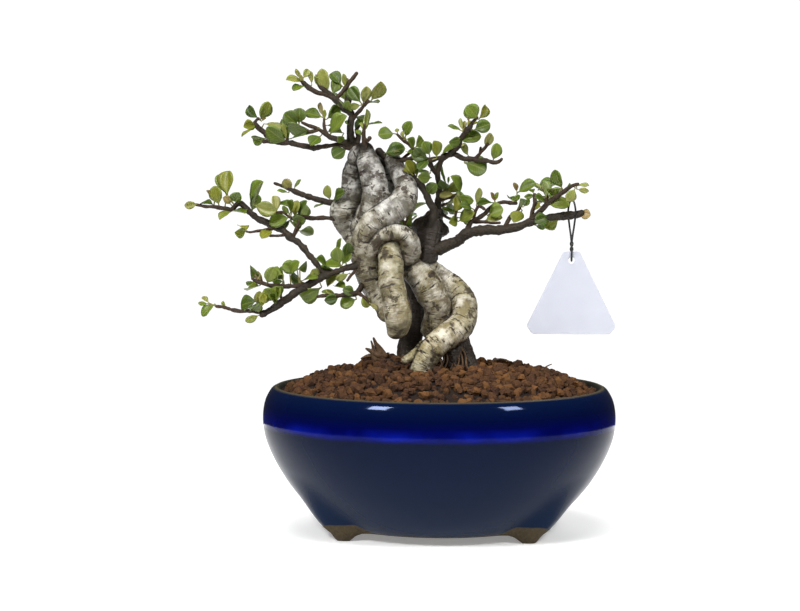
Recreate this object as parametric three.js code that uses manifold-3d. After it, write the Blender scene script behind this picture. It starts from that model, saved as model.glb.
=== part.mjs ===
// Cotoneaster bonsai in an oval glazed pot. Millimetres, +Z up, front towards -Y.
// The pot is a hollow loft whose corners swell into four feet. The trunk is a knot of
// strands that have grown together. Each leafy branch is one piece with its leaves.

import * as THREE from 'three';
import { mergeVertices } from 'three/addons/utils/BufferGeometryUtils.js';
import Module from 'manifold-3d';

const wasm = await Module();
wasm.setup();

// Driving dimensions of the pot
const bellyHalfWidth = 102.5;
const potDepthRatio = 0.785;
const undersideHeight = 4;
const wallThickness = 7;
const floorTop = 11;
const drainHoleRadius = 8;
const drainHoleX = 32;
const screenWidth = 28;
const screenThickness = 1;
const screenPitch = 8;
const screenHole = 5.6;
const footReachX = 52;
const footReachY = 36.5;

// Round the oval, the corners lean from one angle at the ground by so much a millimetre
const cornerAngle = 42;
const cornerLean = 0.27;
const cornerSwell = 0.29;
const cornerTop = 38;
const cornerFrontSpread = 7;
const cornerSideSpread = 14;

// Where the oval's outline has its points in a quarter turn, in degrees
const quarterAngles = [0, 14, 25, 33, 38, 42, 47, 54, 64, 77];

// The pot's outside from the underside to the lip, as [half width, height]
const potOutside = [
  [58, undersideHeight], [63, 5.5], [73, 12.5], [82, 21.5], [89.5, 31], [96.5, 43],
  [101.2, 55], [bellyHalfWidth, 66], [101.4, 75], [98.8, 80.8], [96.8, 83.3], [95, 84.2],
];

// Driving dimensions of the soil
const soilEdgeHeight = 81;
const moundRise = 15.5;
const humpRise = 5.6;
const humpX = -29;
const humpY = 6;
const humpSpread = 10;
const grainRelief = 1.3;
const soilRings = 6;

// Gap that neighbouring pieces keep to each other
const seatGap = 0.3;

// The pot stands off the middle of the whole, because the tree leans to the left
const potOffsetX = 24;

// Leaves and twigs
const leafRidge = 0.9;
const leafFold = 0.3;
const leafDroop = 0.08;
const thickTwig = 1.9;
const twigStep = 11;
const twigSpacing = 9.5;

// Stations along a blade, as part of its length and of its width
const leafStations = [[0.42, 0.9], [0.8, 0.9]];

// The name tag and its wire
const tagWidth = 55;
const tagHeight = 47;
const tagTopWidth = 9;
const tagCornerCut = 4.5;
const tagThickness = 0.8;
const tagHoleRadius = 2;
const tagX = 76;
const tagY = -12.3;
const tagTopZ = 163;
const tagHoleDrop = 5;
const wireRadius = 0.6;
const hookZ = 184;
const hookHalf = 4;
const hookRise = 8.4;
const hookTurn = 32;
const eyeRadius = 1.5;

const colours = {
  glaze: 0x0c1450,
  soil: 0x6b4a30,
  mesh: 0x20242a,
  bark: 0xa8a48c,
  leaf: 0x5f7d2a,
  tag: 0xf2f4f8,
  wire: 0x151515,
};

// Trunk strands as [x, y, z, radius] from the pot's axis
const strands = {
  'finger': [[-43, -0.5, 220.5, 5.6], [-41, -3, 214, 6.6], [-38, -5, 206, 7.3],
    [-35.7, -7, 196.5, 7.6], [-38.5, -7, 189.5, 7], [-41.5, -5, 183.5, 5.6],
    [-46, -2, 177, 5]],
  'arch_top': [[-43, -0.5, 220.5, 5.6], [-47.5, 0, 219, 4.8], [-51, 1.5, 215, 3.6],
    [-53.4, 3.5, 209.5, 3], [-54.8, 6, 202, 3]],
  'back_left': [[-48.5, 5, 210.5, 4.6], [-49.5, 7, 205, 5.2], [-50.5, 8, 198.5, 6.6],
    [-53, 9, 191.5, 6.8], [-55, 9, 185.5, 9], [-54, 8, 179, 8.2], [-51.5, 7, 172.5, 6],
    [-46.5, 3, 164, 5]],
  'core': [[-40, 9, 214, 6.4], [-37, 11, 203.5, 8.2], [-37, 8, 189, 9], [-44, 3, 176, 8]],
  'big_bend': [[-27.5, 3, 215.5, 4.8], [-25, 1, 211, 5], [-22.5, -2, 206, 5.6],
    [-19.5, -5, 201.5, 6.4], [-18.5, -8, 196.5, 7.2], [-19.5, -11, 191, 7.6],
    [-24.5, -13, 187, 7.6], [-31, -14, 183, 7.3], [-37.5, -14, 178.5, 7.3],
    [-42, -12, 171.5, 7.4], [-43.5, -9, 162.5, 7.6], [-42.5, -8, 155.5, 7.4],
    [-40, -6, 147.5, 7], [-36.5, -6, 139.5, 6.6], [-32, -12, 133.5, 6], [-29, -20, 128, 5.5]],
  'arch': [[-39.5, -6, 145, 5.6], [-40, -8, 154, 6.6], [-39.6, -10, 162.5, 6.6],
    [-36, -13, 169, 5.8], [-28, -16, 173.5, 5], [-20, -16, 173, 5.2], [-16, -14.5, 168, 6.1],
    [-16, -12, 164, 6.3], [-18.5, -8, 156, 5.4]],
  'front_finger': [[-27, -13, 165.5, 5.4], [-27, -17, 160, 6.9], [-26.5, -21, 152.5, 7.4],
    [-25.5, -24, 143.5, 7.7], [-23, -27, 134.5, 7.9], [-22, -28, 125.5, 8],
    [-22, -27, 119.5, 6.2]],
  'middle': [[-20.5, -4, 157, 6.4], [-13.5, -7, 151, 7.2], [-8, -8, 146, 8.4],
    [-4, -8, 139, 8.8], [-1, -7, 132, 8.4], [-1, -5, 124, 7.6], [-4, -3, 117, 6.5]],
  'right_loop': [[-9, 4, 152, 7], [-1, 5, 147.5, 7], [8, 3, 142, 7], [13.2, 0, 136, 7.4],
    [15.2, -5, 129.5, 7.8], [14, -10, 122, 8], [8, -15, 116, 8.1], [1, -19, 111, 7.8],
    [-5, -21, 105, 7.5], [-9, -22, 99, 6.6], [-10, -23, 91, 5.8], [-10, -23, 83, 5.6]],
  'root_stub': [[-8, -19, 109.5, 3.4], [-12, -22, 106, 3], [-16, -25, 103, 2.7],
    [-18, -26, 101.5, 2.4]],
  'back_root': [[-15, 6, 158, 6.4], [-15.5, 9, 142, 6], [-14, 10, 127, 6.2], [-16, 9, 113, 6.6],
    [-17.5, 8, 104, 7.4], [-18.5, 8, 84, 8]],
  'right_root': [[11.5, -8, 115, 5.6], [14, -7, 104, 6.4], [17, -8, 98, 6], [22, -8, 91, 4.6],
    [27, -8, 83, 3.4]],
  'front_root': [[10, -10, 111, 6.2], [9, -11, 97, 6.2], [9, -13, 84, 5.4]],
  'branch_neck': [[-8, 4, 153, 6], [-7.5, 5, 160, 6.2], [-6.5, 5, 167.5, 6.6],
    [-5.5, 6, 174, 7.6], [-4.5, 7, 179.5, 6.8], [-2, 8, 183, 4.6]],
};

// Burrs that stand out of the strands, as [x, y, z, radius]
const burrs = [[-55, 7, 186, 9.1], [-19.5, -9, 193.5, 7.9], [-15.5, -12, 165, 6.8], [-8, 6, 158, 6.6],
         [-9.5, 8, 176, 6.2], [1, 9, 175, 4.6]];

// Leafy branches. A twig is a list of [x, y, z, radius]. A leaf is the place of its foot, the way
// from there to its tip, its width, and how far its face is turned from the front in degrees.
const sprays = {
  'spray_top_left': {
    'twigs': [
      [[-48, 1, 221.5, 2.6], [-53, 2, 222.5, 1.8], [-57.5, 3, 224, 1.4], [-63.5, 5, 223.5, 1.3],
       [-69.5, 7, 222.5, 1.4], [-73.5, 8, 222, 1.6], [-77.5, 9, 223, 1.6], [-82.5, 11, 224, 1.6],
       [-88, 12, 225, 1.5], [-94, 14, 225.5, 1.5], [-100, 16, 226.5, 1.5], [-104, 17, 226, 1.3]],
      [[-99, 16, 227, 1.3], [-102.5, 17, 230, 1.6], [-106, 18, 233, 1.7], [-108, 18, 235, 1.5],
       [-109.5, 19, 237.5, 1.1], [-107.5, 19, 239.5, 0.9]],
      [[-50.5, 1, 223, 1.5], [-54.5, 0, 225.5, 1.5], [-59, -1, 227, 1.6], [-63, -2, 228.5, 1.5],
       [-67, -3, 231, 1.3], [-71, -4, 233.5, 1.1], [-75.5, -5, 235, 1], [-78.5, -6, 236.5, 0.9]],
      [[-64, -2, 229, 1.1], [-66, -1, 232.5, 1], [-66.5, 0, 236, 0.9], [-66.5, 0, 238.5, 0.8]],
      [[-90, 13, 225, 1.1], [-89.5, 12, 227.5, 0.9]],
      [[-69, -4, 232.5, 0.9], [-73.5, -5, 231, 0.9], [-77.5, -5, 233, 0.8], [-81.5, -5, 235, 0.8]],
      [[-101, 17, 228, 1.1], [-97, 26, 231, 0.9], [-93, 34, 233, 0.8]],
    ],
    'leaves': [
      [-107.5, 19, 239.5, -6.5, 3, 7.5, 6.5, -40], [-106.5, 19, 238.5, 6, -3.5, 10, 7.5, 40],
      [-109, 18.5, 236, -6, -7.5, -1.5, 6.5, -10], [-104, 18, 236.5, 11, -3, -2, 4.5, -25],
      [-89.5, 12.5, 225.5, -12, -4, 7.5, 9.5, -35], [-89, 12.5, 226.5, 2, -5.5, 8.5, 6.5, -50],
      [-88, 12, 227.5, 13.5, 4, 4.5, 4, -40], [-102.5, 16.5, 228, -9, 5, -0.5, 6.5, -50],
      [-81, -5, 235, -7.5, -3, 7, 9, -10], [-80.5, -5, 235.5, 0.5, -2.5, 9, 8.5, -10],
      [-73.5, -5, 231.5, -13.5, -4, 2.5, 9, -65], [-68, -3, 229, -5.5, -6, -5.5, 7.5, 10],
      [-67, 0, 239.5, -10, -3, 3.5, 7, 20], [-65, 0, 238.5, 7.5, 3, 7.5, 7, 35],
      [-63, -2, 229.5, 10, -4, 11, 10, -25], [-55, -0.5, 230.5, -9.5, 4, 1.5, 6.5, 30],
      [-55.5, -0.5, 225.5, -2.5, -6, 3, 4.5, -25], [-54, 0.5, 225.5, 2, 7, 4, 5.5, 40],
      [-53.5, 2, 221.5, -8, -2.5, -5, 8.5, 10], [-97.5, 25, 231, 3, 2.5, 8.5, 7, 140],
      [-93.5, 33.5, 233.5, 2.5, 6, 8.5, 9, 60], [-93, 33, 233, 5.5, 5.5, 5.5, 7, -55],
    ],
  },
  'spray_leader': {
    'twigs': [
      [[-48, 2, 220.5, 2.6], [-50, 2, 225, 2.3], [-51, 1, 229, 2], [-51.5, 0, 233.5, 1.9],
       [-50.5, 0, 238, 1.8], [-51, 0, 241.5, 2], [-53.5, -1, 244, 2], [-56.5, -1, 246.5, 2],
       [-60, -2, 250, 2], [-63, -2, 252.5, 1.8], [-65.5, -3, 255, 1.6], [-68.5, -3, 257.5, 1.1]],
      [[-61, -2, 250.5, 1.6], [-65, -3, 252.5, 1.3], [-69.5, -4, 253.5, 1.3],
       [-73.5, -5, 255.5, 1.4], [-76.5, -5, 258, 1.5], [-78.5, -6, 260, 1.2]],
      [[-60, -2, 250, 1.3], [-57, 0, 253, 1.2], [-54.5, 1, 256, 1.3], [-52, 2, 259.5, 1.2],
       [-50, 3, 262.5, 1.1], [-48, 4, 265, 1.2]],
      [[-53.5, -1, 246, 1.9], [-52.5, 1, 250, 1.9], [-52.5, 2, 253.5, 1.6], [-54, 3, 256.5, 1]],
      [[-49.5, 0, 239, 1.3], [-46.5, -3, 242.5, 1.1], [-43.5, -5, 245.5, 1.2],
       [-40.5, -7, 248.5, 1]],
      [[-47.5, 2, 225, 1.6], [-47, 3, 229, 1.5], [-48, 4, 232.5, 1.2], [-46.5, 5, 235, 0.9]],
      [[-54, 0, 244, 1], [-53, 9, 247, 0.9], [-55, 19, 250, 0.8]],
    ],
    'leaves': [
      [-78, -5.5, 259.5, -9.5, -3, 1.5, 5, 25], [-78, -6, 261.5, 3, 2, 6, 4, 25],
      [-76.5, -5, 257.5, -6, -8, -1.5, 6.5, 40], [-63.5, -2.5, 253.5, -4.5, -4, 13, 7.5, -25],
      [-61.5, -2, 252.5, 3, 3, 9, 6.5, 25], [-56.5, 1, 258, -6, 2.5, 7.5, 6.5, 10],
      [-44.5, -5.5, 247.5, -7, 3, 9, 7.5, -15], [-43.5, -5.5, 247, 2.5, -3, 10, 6, 25],
      [-39, -7, 248.5, 6.5, -3.5, 11, 8.5, 50], [-40.5, -6.5, 247.5, 5, 8, 2, 6, -50],
      [-44.5, -5, 246.5, -6.5, 2, -1, 4, -25], [-51.5, -1, 242.5, -1, -8, 5, 6, -50],
      [-48.5, -0.5, 240, 4.5, 7.5, -1.5, 5.5, 40], [-53.5, 4, 245, -1, 8.5, -2, 7, 50],
      [-53.5, 12, 248.5, -2.5, 1.5, 9, 7, 150], [-53.5, 12, 247.5, -2.5, 7.5, -3, 7, 105],
      [-54.5, 18.5, 250, 1.5, 9, 4.5, 8, -20], [-55.5, 18.5, 250, -7, 6, 5.5, 7.5, 60],
      [-54.5, 18.5, 250, 1, 5.5, 5, 3.5, -80],
    ],
  },
  'spray_front_leader': {
    'twigs': [
      [[-42, -4, 222.5, 1.6], [-43, -5, 227, 1.3], [-43, -6, 231.5, 1], [-42.5, -7, 235, 0.8]],
      [[-43, -5, 227.5, 0.9], [-40.5, -7, 226, 1], [-39.5, -8, 227.5, 1.2]],
    ],
    'leaves': [
      [-43, -5.5, 230, 2, 4, 14.5, 4, 45],
    ],
  },
  'spray_left_high': {
    'twigs': [
      [[-53, 7, 190, 2.2], [-58, 8, 190.5, 1.9], [-64, 8, 190.5, 1.8], [-69, 9, 191.5, 1.8],
       [-75, 10, 193, 1.8], [-80.5, 12, 195, 1.7], [-86, 13, 197, 1.5], [-90, 14, 199, 1.3],
       [-94.5, 15, 200.5, 1.1], [-97.5, 16, 201.5, 0.9]],
    ],
    'leaves': [
      [-87, 13.5, 197.5, -4.5, -2.5, 6, 6, -25], [-64, 8, 191.5, -2, -2.5, 8.5, 5, -25],
      [-62, 6.5, 191.5, 5.5, -10, 5.5, 8, -35],
    ],
  },
  'spray_left_knob': {
    'twigs': [
      [[-60, 4, 181, 1.6], [-66, 3, 181.5, 1.3], [-70.5, 3, 181.5, 1.2], [-75, 2, 181.5, 1.2],
       [-79, 1, 182, 1.2], [-82.5, 0, 181.5, 1.1], [-86.5, -1, 182, 0.9], [-90, -1, 184.5, 0.8],
       [-94, -2, 185, 0.8]],
    ],
    'leaves': [
      [-107.5, -2, 189, 14, -4, -3, 8.5, 25], [-94, -2, 184.5, -2, 3, 10, 5, 25],
      [-86.5, -1, 182, -11.5, -3.5, -3, 9, 10], [-84.5, -1, 187.5, -9, 3, 4, 6.5, 40],
      [-84, -0.5, 182, 1.5, -2.5, 9.5, 6, -25], [-82, 0, 181.5, 4, -3, 10.5, 7.5, -50],
      [-86, 0, 180.5, 8.5, -5.5, 1, 6.5, 40], [-85.5, -1, 184.5, -2, -8.5, 6.5, 7, 55],
    ],
  },
  'spray_left_mid': {
    'twigs': [
      [[-42.5, -10, 157, 2.6], [-47.5, -13, 154.5, 2.1], [-53.5, -14, 153, 1.8],
       [-59, -15, 151, 1.8], [-64.5, -15, 149, 2.2], [-70, -16, 146.5, 2.4],
       [-74.5, -16, 143.5, 2.3], [-78.5, -17, 141, 2.2], [-83, -18, 138, 2.3],
       [-87.5, -18, 135, 2.2], [-92, -19, 132, 2.1], [-96.5, -19, 129, 1.8],
       [-100.5, -20, 126.5, 1.5]],
      [[-63, -14, 150, 2], [-67, -13, 151.5, 1.9], [-70, -12, 155.5, 1.8], [-74, -10, 160, 1.8],
       [-77.5, -9, 164, 1.8], [-81, -7, 167.5, 1.9], [-85.5, -5, 170.5, 2], [-90.5, -3, 174.5, 2],
       [-95.5, -1, 176.5, 2], [-101, 1, 179, 2], [-106, 3, 181, 1.9], [-110, 4, 184, 1.9],
       [-114, 5, 188, 1.8], [-117, 6, 190, 1.6], [-119.5, 6, 188.5, 1.5], [-122, 7, 186.5, 1.7],
       [-127.5, 8, 187, 1.4], [-133, 9, 188, 1.2], [-138.5, 10, 188, 1], [-143.5, 11, 189, 0.9]],
      [[-74, -16, 144, 1.6], [-79, -17, 143.5, 1.4], [-84, -18, 143, 1.4], [-89, -19, 143, 1.4],
       [-94, -20, 143.5, 1.3], [-99, -21, 144.5, 1.2], [-103, -22, 146, 1.1],
       [-105.5, -22, 147.5, 0.9]],
      [[-88, -18, 134.5, 1], [-89.5, -20, 137.5, 0.9], [-89.5, -21, 141, 0.8]],
      [[-98.5, -19, 128, 1.3], [-103, -18, 128, 1.2], [-108, -17, 128.5, 1.2],
       [-113.5, -15, 128.5, 1.2], [-118.5, -13, 129, 1.1], [-123.5, -11, 130, 1],
       [-128.5, -9, 130.5, 0.9]],
      [[-93.5, -2, 176, 1], [-99, -4, 175, 0.9], [-104.5, -6, 174, 0.9], [-109, -7, 173.5, 0.8],
       [-111, -8, 174, 0.8]],
      [[-88.5, -4, 172, 0.9], [-93, -6, 171.5, 0.8], [-97, -8, 171.5, 0.8]],
      [[-85, -5, 169, 1.2], [-83, -6, 173.5, 1.1], [-81.5, -6, 177.5, 0.9], [-81, -6, 180, 0.8]],
      [[-47, -13, 152.5, 0.9], [-49.5, -16, 149.5, 0.9], [-51.5, -18, 146.5, 0.8]],
      [[-76.5, -9, 162, 0.9], [-76.5, -9, 165.5, 0.8]],
      [[-84, -4, 171, 1], [-82, 6, 176, 0.9], [-80, 17, 181, 0.8]],
    ],
    'leaves': [
      [-142.5, 10.5, 189.5, -7.5, -2.5, -1, 4.5, -25], [-132.5, 9, 189, -9.5, 4, 2, 6.5, 50],
      [-129.5, 8.5, 188.5, -2.5, -3.5, 11, 7.5, -10], [-132, 9, 193, -4.5, -2, 4.5, 2.5, 25],
      [-125, 8, 194.5, -4.5, 3.5, 12.5, 8.5, 15], [-124, 6, 194, -0.5, 4, 15, 10, -20],
      [-122, 6.5, 189, -4.5, -2, 4.5, 5, 25], [-122, 6, 191, 5.5, -7.5, 4, 6.5, 50],
      [-121.5, 7, 185.5, -7, -4, -5, 6, 35], [-121.5, 7, 185.5, 9, -7, -1, 7.5, -55],
      [-109.5, 4, 185, 2, -3, 11, 7.5, 50], [-109.5, 4, 185.5, 7, -5.5, 17.5, 12.5, -60],
      [-111, -8, 174, -5.5, -7.5, -0.5, 6, -45], [-111, -8, 174, -4.5, 8, 4.5, 6.5, 40],
      [-96.5, -3.5, 174.5, -5, -8, -3, 6.5, 25], [-129.5, -9, 132, -7.5, -3.5, -6, 6.5, 30],
      [-133, -9, 132.5, -4, 1.5, 4, 3, 25], [-133.5, -9, 132, -5.5, -1.5, 0.5, 2.5, -25],
      [-123.5, -11, 130, -0.5, -1, 4, 2.5, -25], [-103.5, -17.5, 134.5, -11, 3, -2.5, 9, 10],
      [-102, -20, 126.5, -7.5, -2.5, -3.5, 4, -25], [-107, -17, 128.5, 5.5, -8, 5.5, 7, 55],
      [-100.5, -18.5, 130.5, -1.5, -5.5, 9, 6.5, -35],
      [-92.5, -19, 134.5, -6.5, -2.5, 7, 7.5, -10], [-90, -19.5, 136.5, -1.5, -7.5, 6.5, 6.5, 40],
      [-101, -22, 150, -8.5, 8, 2, 7.5, -40], [-99, -21, 144.5, -4.5, 2.5, 7, 4, -25],
      [-101.5, -21.5, 143.5, -8.5, 7, -3, 7.5, 55], [-88, -19, 149.5, -10, 4.5, 2.5, 7, 25],
      [-97.5, -21, 144.5, 5, -5, 9, 7.5, 25], [-94, -19, 134.5, 3.5, -8, 7.5, 7.5, -25],
      [-103, -18.5, 131, 4.5, -8.5, 6.5, 7.5, -30], [-84.5, -18, 149.5, 4.5, -5.5, 8, 7, -35],
      [-79, -16.5, 152.5, -9.5, -3, 2.5, 7.5, -10], [-80.5, -17, 152.5, 6, 7, 2.5, 6, 50],
      [-88, -18.5, 146, -4.5, 6, 7.5, 7, -35], [-77, -16.5, 145, -8.5, 3.5, 4, 6.5, -40],
      [-78, -16.5, 146, 9, -4.5, 3.5, 7, -55], [-68, -15.5, 148, -4, -1.5, 4.5, 5.5, -10],
      [-63.5, -13.5, 154, -5.5, -7, 5, 6.5, 40], [-53.5, -14, 154, -14.5, 4, 2, 9.5, 40],
      [-56, -14.5, 155.5, -1.5, -4.5, 10, 7.5, -10], [-53.5, -14, 159.5, 3, -6, 7.5, 6.5, 50],
      [-55, -15.5, 155, 5, 1, 7, 5.5, -10], [-66.5, -16, 142.5, -12.5, 4, -6.5, 9.5, -40],
      [-54, -14.5, 150.5, -10, 3.5, -8, 8.5, 40], [-50.5, -16.5, 150.5, -8, 1.5, -4, 4, -25],
      [-57, -15, 151.5, -10.5, 3.5, 1, 7, -45], [-97, -20, 139, -2.5, -8, -3.5, 6, -35],
      [-91.5, -19, 133, -4, -6.5, 5.5, 6, 35], [-82.5, 2.5, 175, 1.5, 2, 9, 7, -165],
      [-82, 3, 174, 7.5, 6, -1, 8, -110], [-83, 3, 174.5, -4.5, 5.5, 5, 6.5, 75],
      [-81, 11, 179, 2, 0, 11, 9, 145],
    ],
  },
  'spray_left_low': {
    'twigs': [
      [[-42, -7, 146, 1.9], [-44, -11, 142.5, 1.7], [-46.5, -14, 139, 1.6],
       [-50, -17, 138.5, 1.5], [-54.5, -19, 138, 1.4], [-59, -21, 138, 1.2],
       [-63.5, -22, 138, 1.1], [-68, -23, 137.5, 0.9]],
      [[-46, -14, 139, 1.1], [-42, -17, 137, 0.9], [-38.5, -19, 133.5, 0.8], [-36, -20, 131, 0.8]],
    ],
    'leaves': [
      [-52, -17.5, 141.5, -7.5, 7, 1.5, 6.5, 40], [-47, -15, 138.5, -6, -6, 3, 6, 10],
      [-56, -19.5, 137, -8, -5.5, -1.5, 6, -25], [-46.5, -15, 135.5, -9, -3, -3, 7.5, 10],
      [-43.5, -16, 137.5, 4, -2, -6, 6, -25],
    ],
  },
  'spray_right_low': {
    'twigs': [
      [[-6, 4, 161, 4.4], [0, 3, 164, 4], [6, 2, 166.5, 3.6], [11, 1, 168.5, 3.3],
       [15.5, -1, 172.5, 3.1], [24, -3, 174.5, 3], [29.5, -4, 175, 2.7], [35.5, -6, 175, 2.6],
       [41, -7, 176, 2.5], [45.5, -8, 177, 2.4], [50, -8, 178.5, 2.2], [54.5, -9, 180, 2],
       [59.5, -10, 181.5, 2], [65, -11, 182.5, 2.2], [69.5, -11, 183, 2.3], [74, -12, 183.5, 2.4],
       [78.5, -13, 184, 2.3], [81.5, -13, 185, 1.7]],
      [[50.5, -8, 179, 1.7], [54.5, -10, 182.5, 1.6], [58.5, -12, 186.5, 1.5],
       [62.5, -14, 190.5, 1.5], [67, -16, 194, 1.4], [71.5, -18, 197.5, 1.3], [75, -19, 200, 1.2],
       [79, -20, 201.5, 1]],
      [[53, -9, 181, 1.3], [54, -7, 186, 1.2], [55, -5, 190.5, 1.2], [55, -3, 195, 1.1]],
      [[37.5, -6, 176, 1.2], [40, -4, 180.5, 1.2], [42.5, -2, 183.5, 1.1], [45.5, 0, 186, 1],
       [47, 1, 189, 0.8]],
      [[15, -1, 173, 1.7], [17, 1, 176.5, 1.5], [19, 2, 179.5, 1.5], [22.5, 3, 181.5, 1.5],
       [26, 4, 184, 1.4], [29.5, 5, 187.5, 1.2], [33, 5, 189.5, 1.1], [37, 6, 191, 1.1],
       [41, 7, 190.5, 1.1], [44.5, 8, 190, 0.9]],
      [[19.5, 2, 179.5, 1.3], [24.5, 1, 179.5, 1.1], [29.5, 0, 179, 0.8], [35, -1, 179, 0.8]],
      [[20, 2, 181, 0.9], [21, 1, 185.5, 0.9], [23, 0, 188.5, 1], [26, -1, 187, 0.9]],
      [[61, -14, 190, 1.1], [62, -4, 194, 1], [61, 6, 197, 0.9], [59, 17, 199, 0.8]],
    ],
    'leaves': [
      [19.5, 1, 187, -6, -6, 3, 6, 30], [21.5, 0.5, 189, 2, -3, 10, 4, 25],
      [31.5, 5, 190.5, -9, -5.5, 0.5, 7, 45], [28, 4, 183, 9, -3, 4, 9.5, -10],
      [26, 1, 180, 10.5, 3, 2.5, 7, -20], [45, 8, 196, 11, -3.5, 5.5, 8, -25],
      [56.5, 17, 199, 10, 3, 3, 7, -15], [57, 16.5, 197.5, 7, 1, 2.5, 5, 25],
      [69, -17.5, 199, -7, 7.5, -3.5, 7, -45], [70.5, -18, 198.5, -5.5, -3.5, 10, 7.5, -50],
      [77.5, -19.5, 199, -4, -2.5, -7, 6, -25], [62.5, -14, 189.5, 11.5, -3.5, 1.5, 7.5, -15],
      [61.5, -12, 190.5, -6.5, -6, 3.5, 6, 40], [58.5, -12.5, 188.5, -3.5, 5, 0.5, 5, -10],
      [45, 8, 190, -5, 8.5, 3.5, 6.5, 50], [46.5, 0.5, 187.5, 0.5, -7.5, 5.5, 6, 50],
      [48, 0.5, 186, -5, -6.5, -6.5, 7.5, 10], [63, -11, 182.5, -8, -5, -2.5, 7.5, -10],
      [69, -11, 181.5, -9, 3, -5.5, 7, -45], [80, -13, 183.5, 6.5, -2, 0.5, 6, -10],
      [54.5, -3, 196, -3, 6, 3, 4.5, 30], [61.5, -8, 192, -5, 7, -2.5, 7, 75],
      [61.5, -8.5, 193, -1.5, 3.5, 10, 8, 125], [62.5, -8, 192.5, 7.5, 4, 6, 8, -110],
      [62, 0, 195, -1, 9.5, -4.5, 8, 130], [61, 9.5, 197.5, 6, 7.5, 5, 8, -65],
      [60, 9, 197.5, -6, 3, 3, 3.5, 120],
    ],
  },
  'spray_right_high': {
    'twigs': [
      [[-3, 8, 174, 3.6], [-1, 9, 184, 3], [-1, 8, 189, 2.2], [-0.5, 8, 194, 1.8],
       [-0.5, 7, 199.5, 1.6], [-1, 6, 204.5, 1.6], [-0.5, 5, 210, 1.5], [0.5, 4, 214, 1.6],
       [2.5, 3, 216.5, 1.7], [5.5, 2, 218, 1.6], [9.5, 1, 218, 1.5], [14, 0, 216, 1.5],
       [18.5, -1, 215.5, 1.5], [23, -2, 215, 1.5], [27.5, -3, 214.5, 1.4], [31.5, -4, 213.5, 1.2],
       [34.5, -5, 214, 1], [36, -5, 215.5, 0.8]],
      [[4, 2, 217, 1.4], [7.5, 0, 220, 1.5], [11, -2, 223.5, 1.6], [12.5, -4, 227, 1.5],
       [15, -6, 230.5, 1.6], [18, -8, 234, 1.4], [20, -9, 237, 1.1], [22, -10, 239, 0.9]],
      [[-1, 6, 206, 1.3], [-3.5, 5, 209.5, 1.3], [-5.5, 4, 213, 1.4], [-5, 3, 215, 1.5],
       [-1.5, 3, 216, 1.2], [1.5, 3, 216.5, 1]],
      [[-0.5, 8, 192, 1.2], [3.5, 5, 193, 1.1], [7, 3, 193.5, 1], [9.5, 2, 195, 0.9]],
      [[20, -1, 215, 1.1], [23, -3, 218, 1], [26, -5, 221.5, 1], [28, -7, 224, 0.9]],
      [[23.5, -3, 219, 0.8], [24, -3, 222, 0.9]],
      [[1, 9, 184, 1.1], [5.5, 6, 181.5, 0.9], [9, 4, 182, 0.8], [10, 3, 187, 0.8]],
      [[-1, 8, 188, 1], [5, 16, 190, 0.9], [8, 25, 191, 0.8]],
    ],
    'leaves': [
      [22.5, -10, 238, -6, -3, 7.5, 9, -10], [23, -10, 238, 4, 4.5, 8, 6.5, 50],
      [20, -8, 232, 9, -3, 3.5, 7.5, 10], [11.5, -3.5, 226, 12, -3.5, 3.5, 8.5, -15],
      [16, -7.5, 233, 6, 5, 5, 6, -35], [13.5, -4, 227, -7.5, -4.5, -2, 6, -45],
      [9, -0.5, 219.5, 4.5, 7, 5, 6.5, -25], [17, -0.5, 217, -3.5, 2.5, 8, 4, -25],
      [1, 3, 218, 7, -5, 4, 6, -45], [26.5, -5, 221.5, 3, -2.5, 9, 5, 25],
      [31, -3.5, 214.5, 3, -3, 9.5, 6.5, 30], [14.5, -0.5, 213.5, 12.5, -3.5, -3.5, 12, -10],
      [12.5, 2, 195, -5.5, -3.5, 11, 8, 45], [4.5, 7.5, 198.5, -3.5, -8.5, 5, 6.5, -50],
      [3, 7.5, 197, 8, 2.5, 4.5, 6, 35], [9, 2, 195.5, -8.5, -2.5, -0.5, 6, 25],
      [9.5, 2, 195, 0, -5.5, -9, 7, -45], [11, 2, 194.5, 8, -5.5, -3.5, 6.5, 50],
      [11, 2.5, 179.5, 9.5, -5, 5.5, 7.5, -10], [13, 5, 181.5, 5, 0, -3, 5, -10],
      [10.5, 4, 181, -4.5, -7.5, -2, 6, -35], [0, 4, 215, -3.5, 8.5, -6, 7, -55],
      [12, 4, 185, 7.5, -4.5, -3, 6, 10], [2.5, 12.5, 188.5, 0, 9, -3, 7, -110],
      [2, 12.5, 189.5, -3.5, 5.5, 8.5, 8.5, 55], [3, 12, 189, 9.5, 1.5, 2.5, 8, -85],
      [6.5, 20, 191, -2.5, 5, 8.5, 7.5, 80], [7, 20, 190.5, 7, 4, 4, 7, -125],
      [6.5, 20, 190, 0, 9, -5.5, 7.5, -145],
    ],
  },
  'spray_right_front': {
    'twigs': [
      [[-9, 3, 171, 2.8], [-3, -2, 184.5, 2.3], [-5.5, -3, 191, 2.1], [-8, -4, 196.5, 2],
       [-10.5, -5, 201, 1.9], [-13.5, -6, 204, 1.5], [-15, -7, 207, 1.1]],
      [[-11.5, -5, 202, 1], [-8.5, -7, 203.5, 0.8]],
    ],
    'leaves': [
      [-13.5, -6.5, 206, -4, -3.5, 8.5, 6.5, 25], [-12.5, -6, 205.5, 1, 6.5, 8.5, 7, -45],
      [-4, -7, 205, -7.5, -6.5, 0.5, 6.5, -25], [-7, -4, 195.5, 5, -6, 5.5, 6.5, 10],
      [-14.5, -9.5, 206.5, -5, 4, 5, 5, 15], [-13, -6.5, 206, 2.5, 7, 5.5, 6, -35],
    ],
  },
  'spray_crown': {
    'twigs': [
      [[-35, 4, 220, 2.4], [-32, 3, 217.5, 2], [-27.5, 1, 215.5, 1.7], [-22.5, -1, 215, 1.5],
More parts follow.
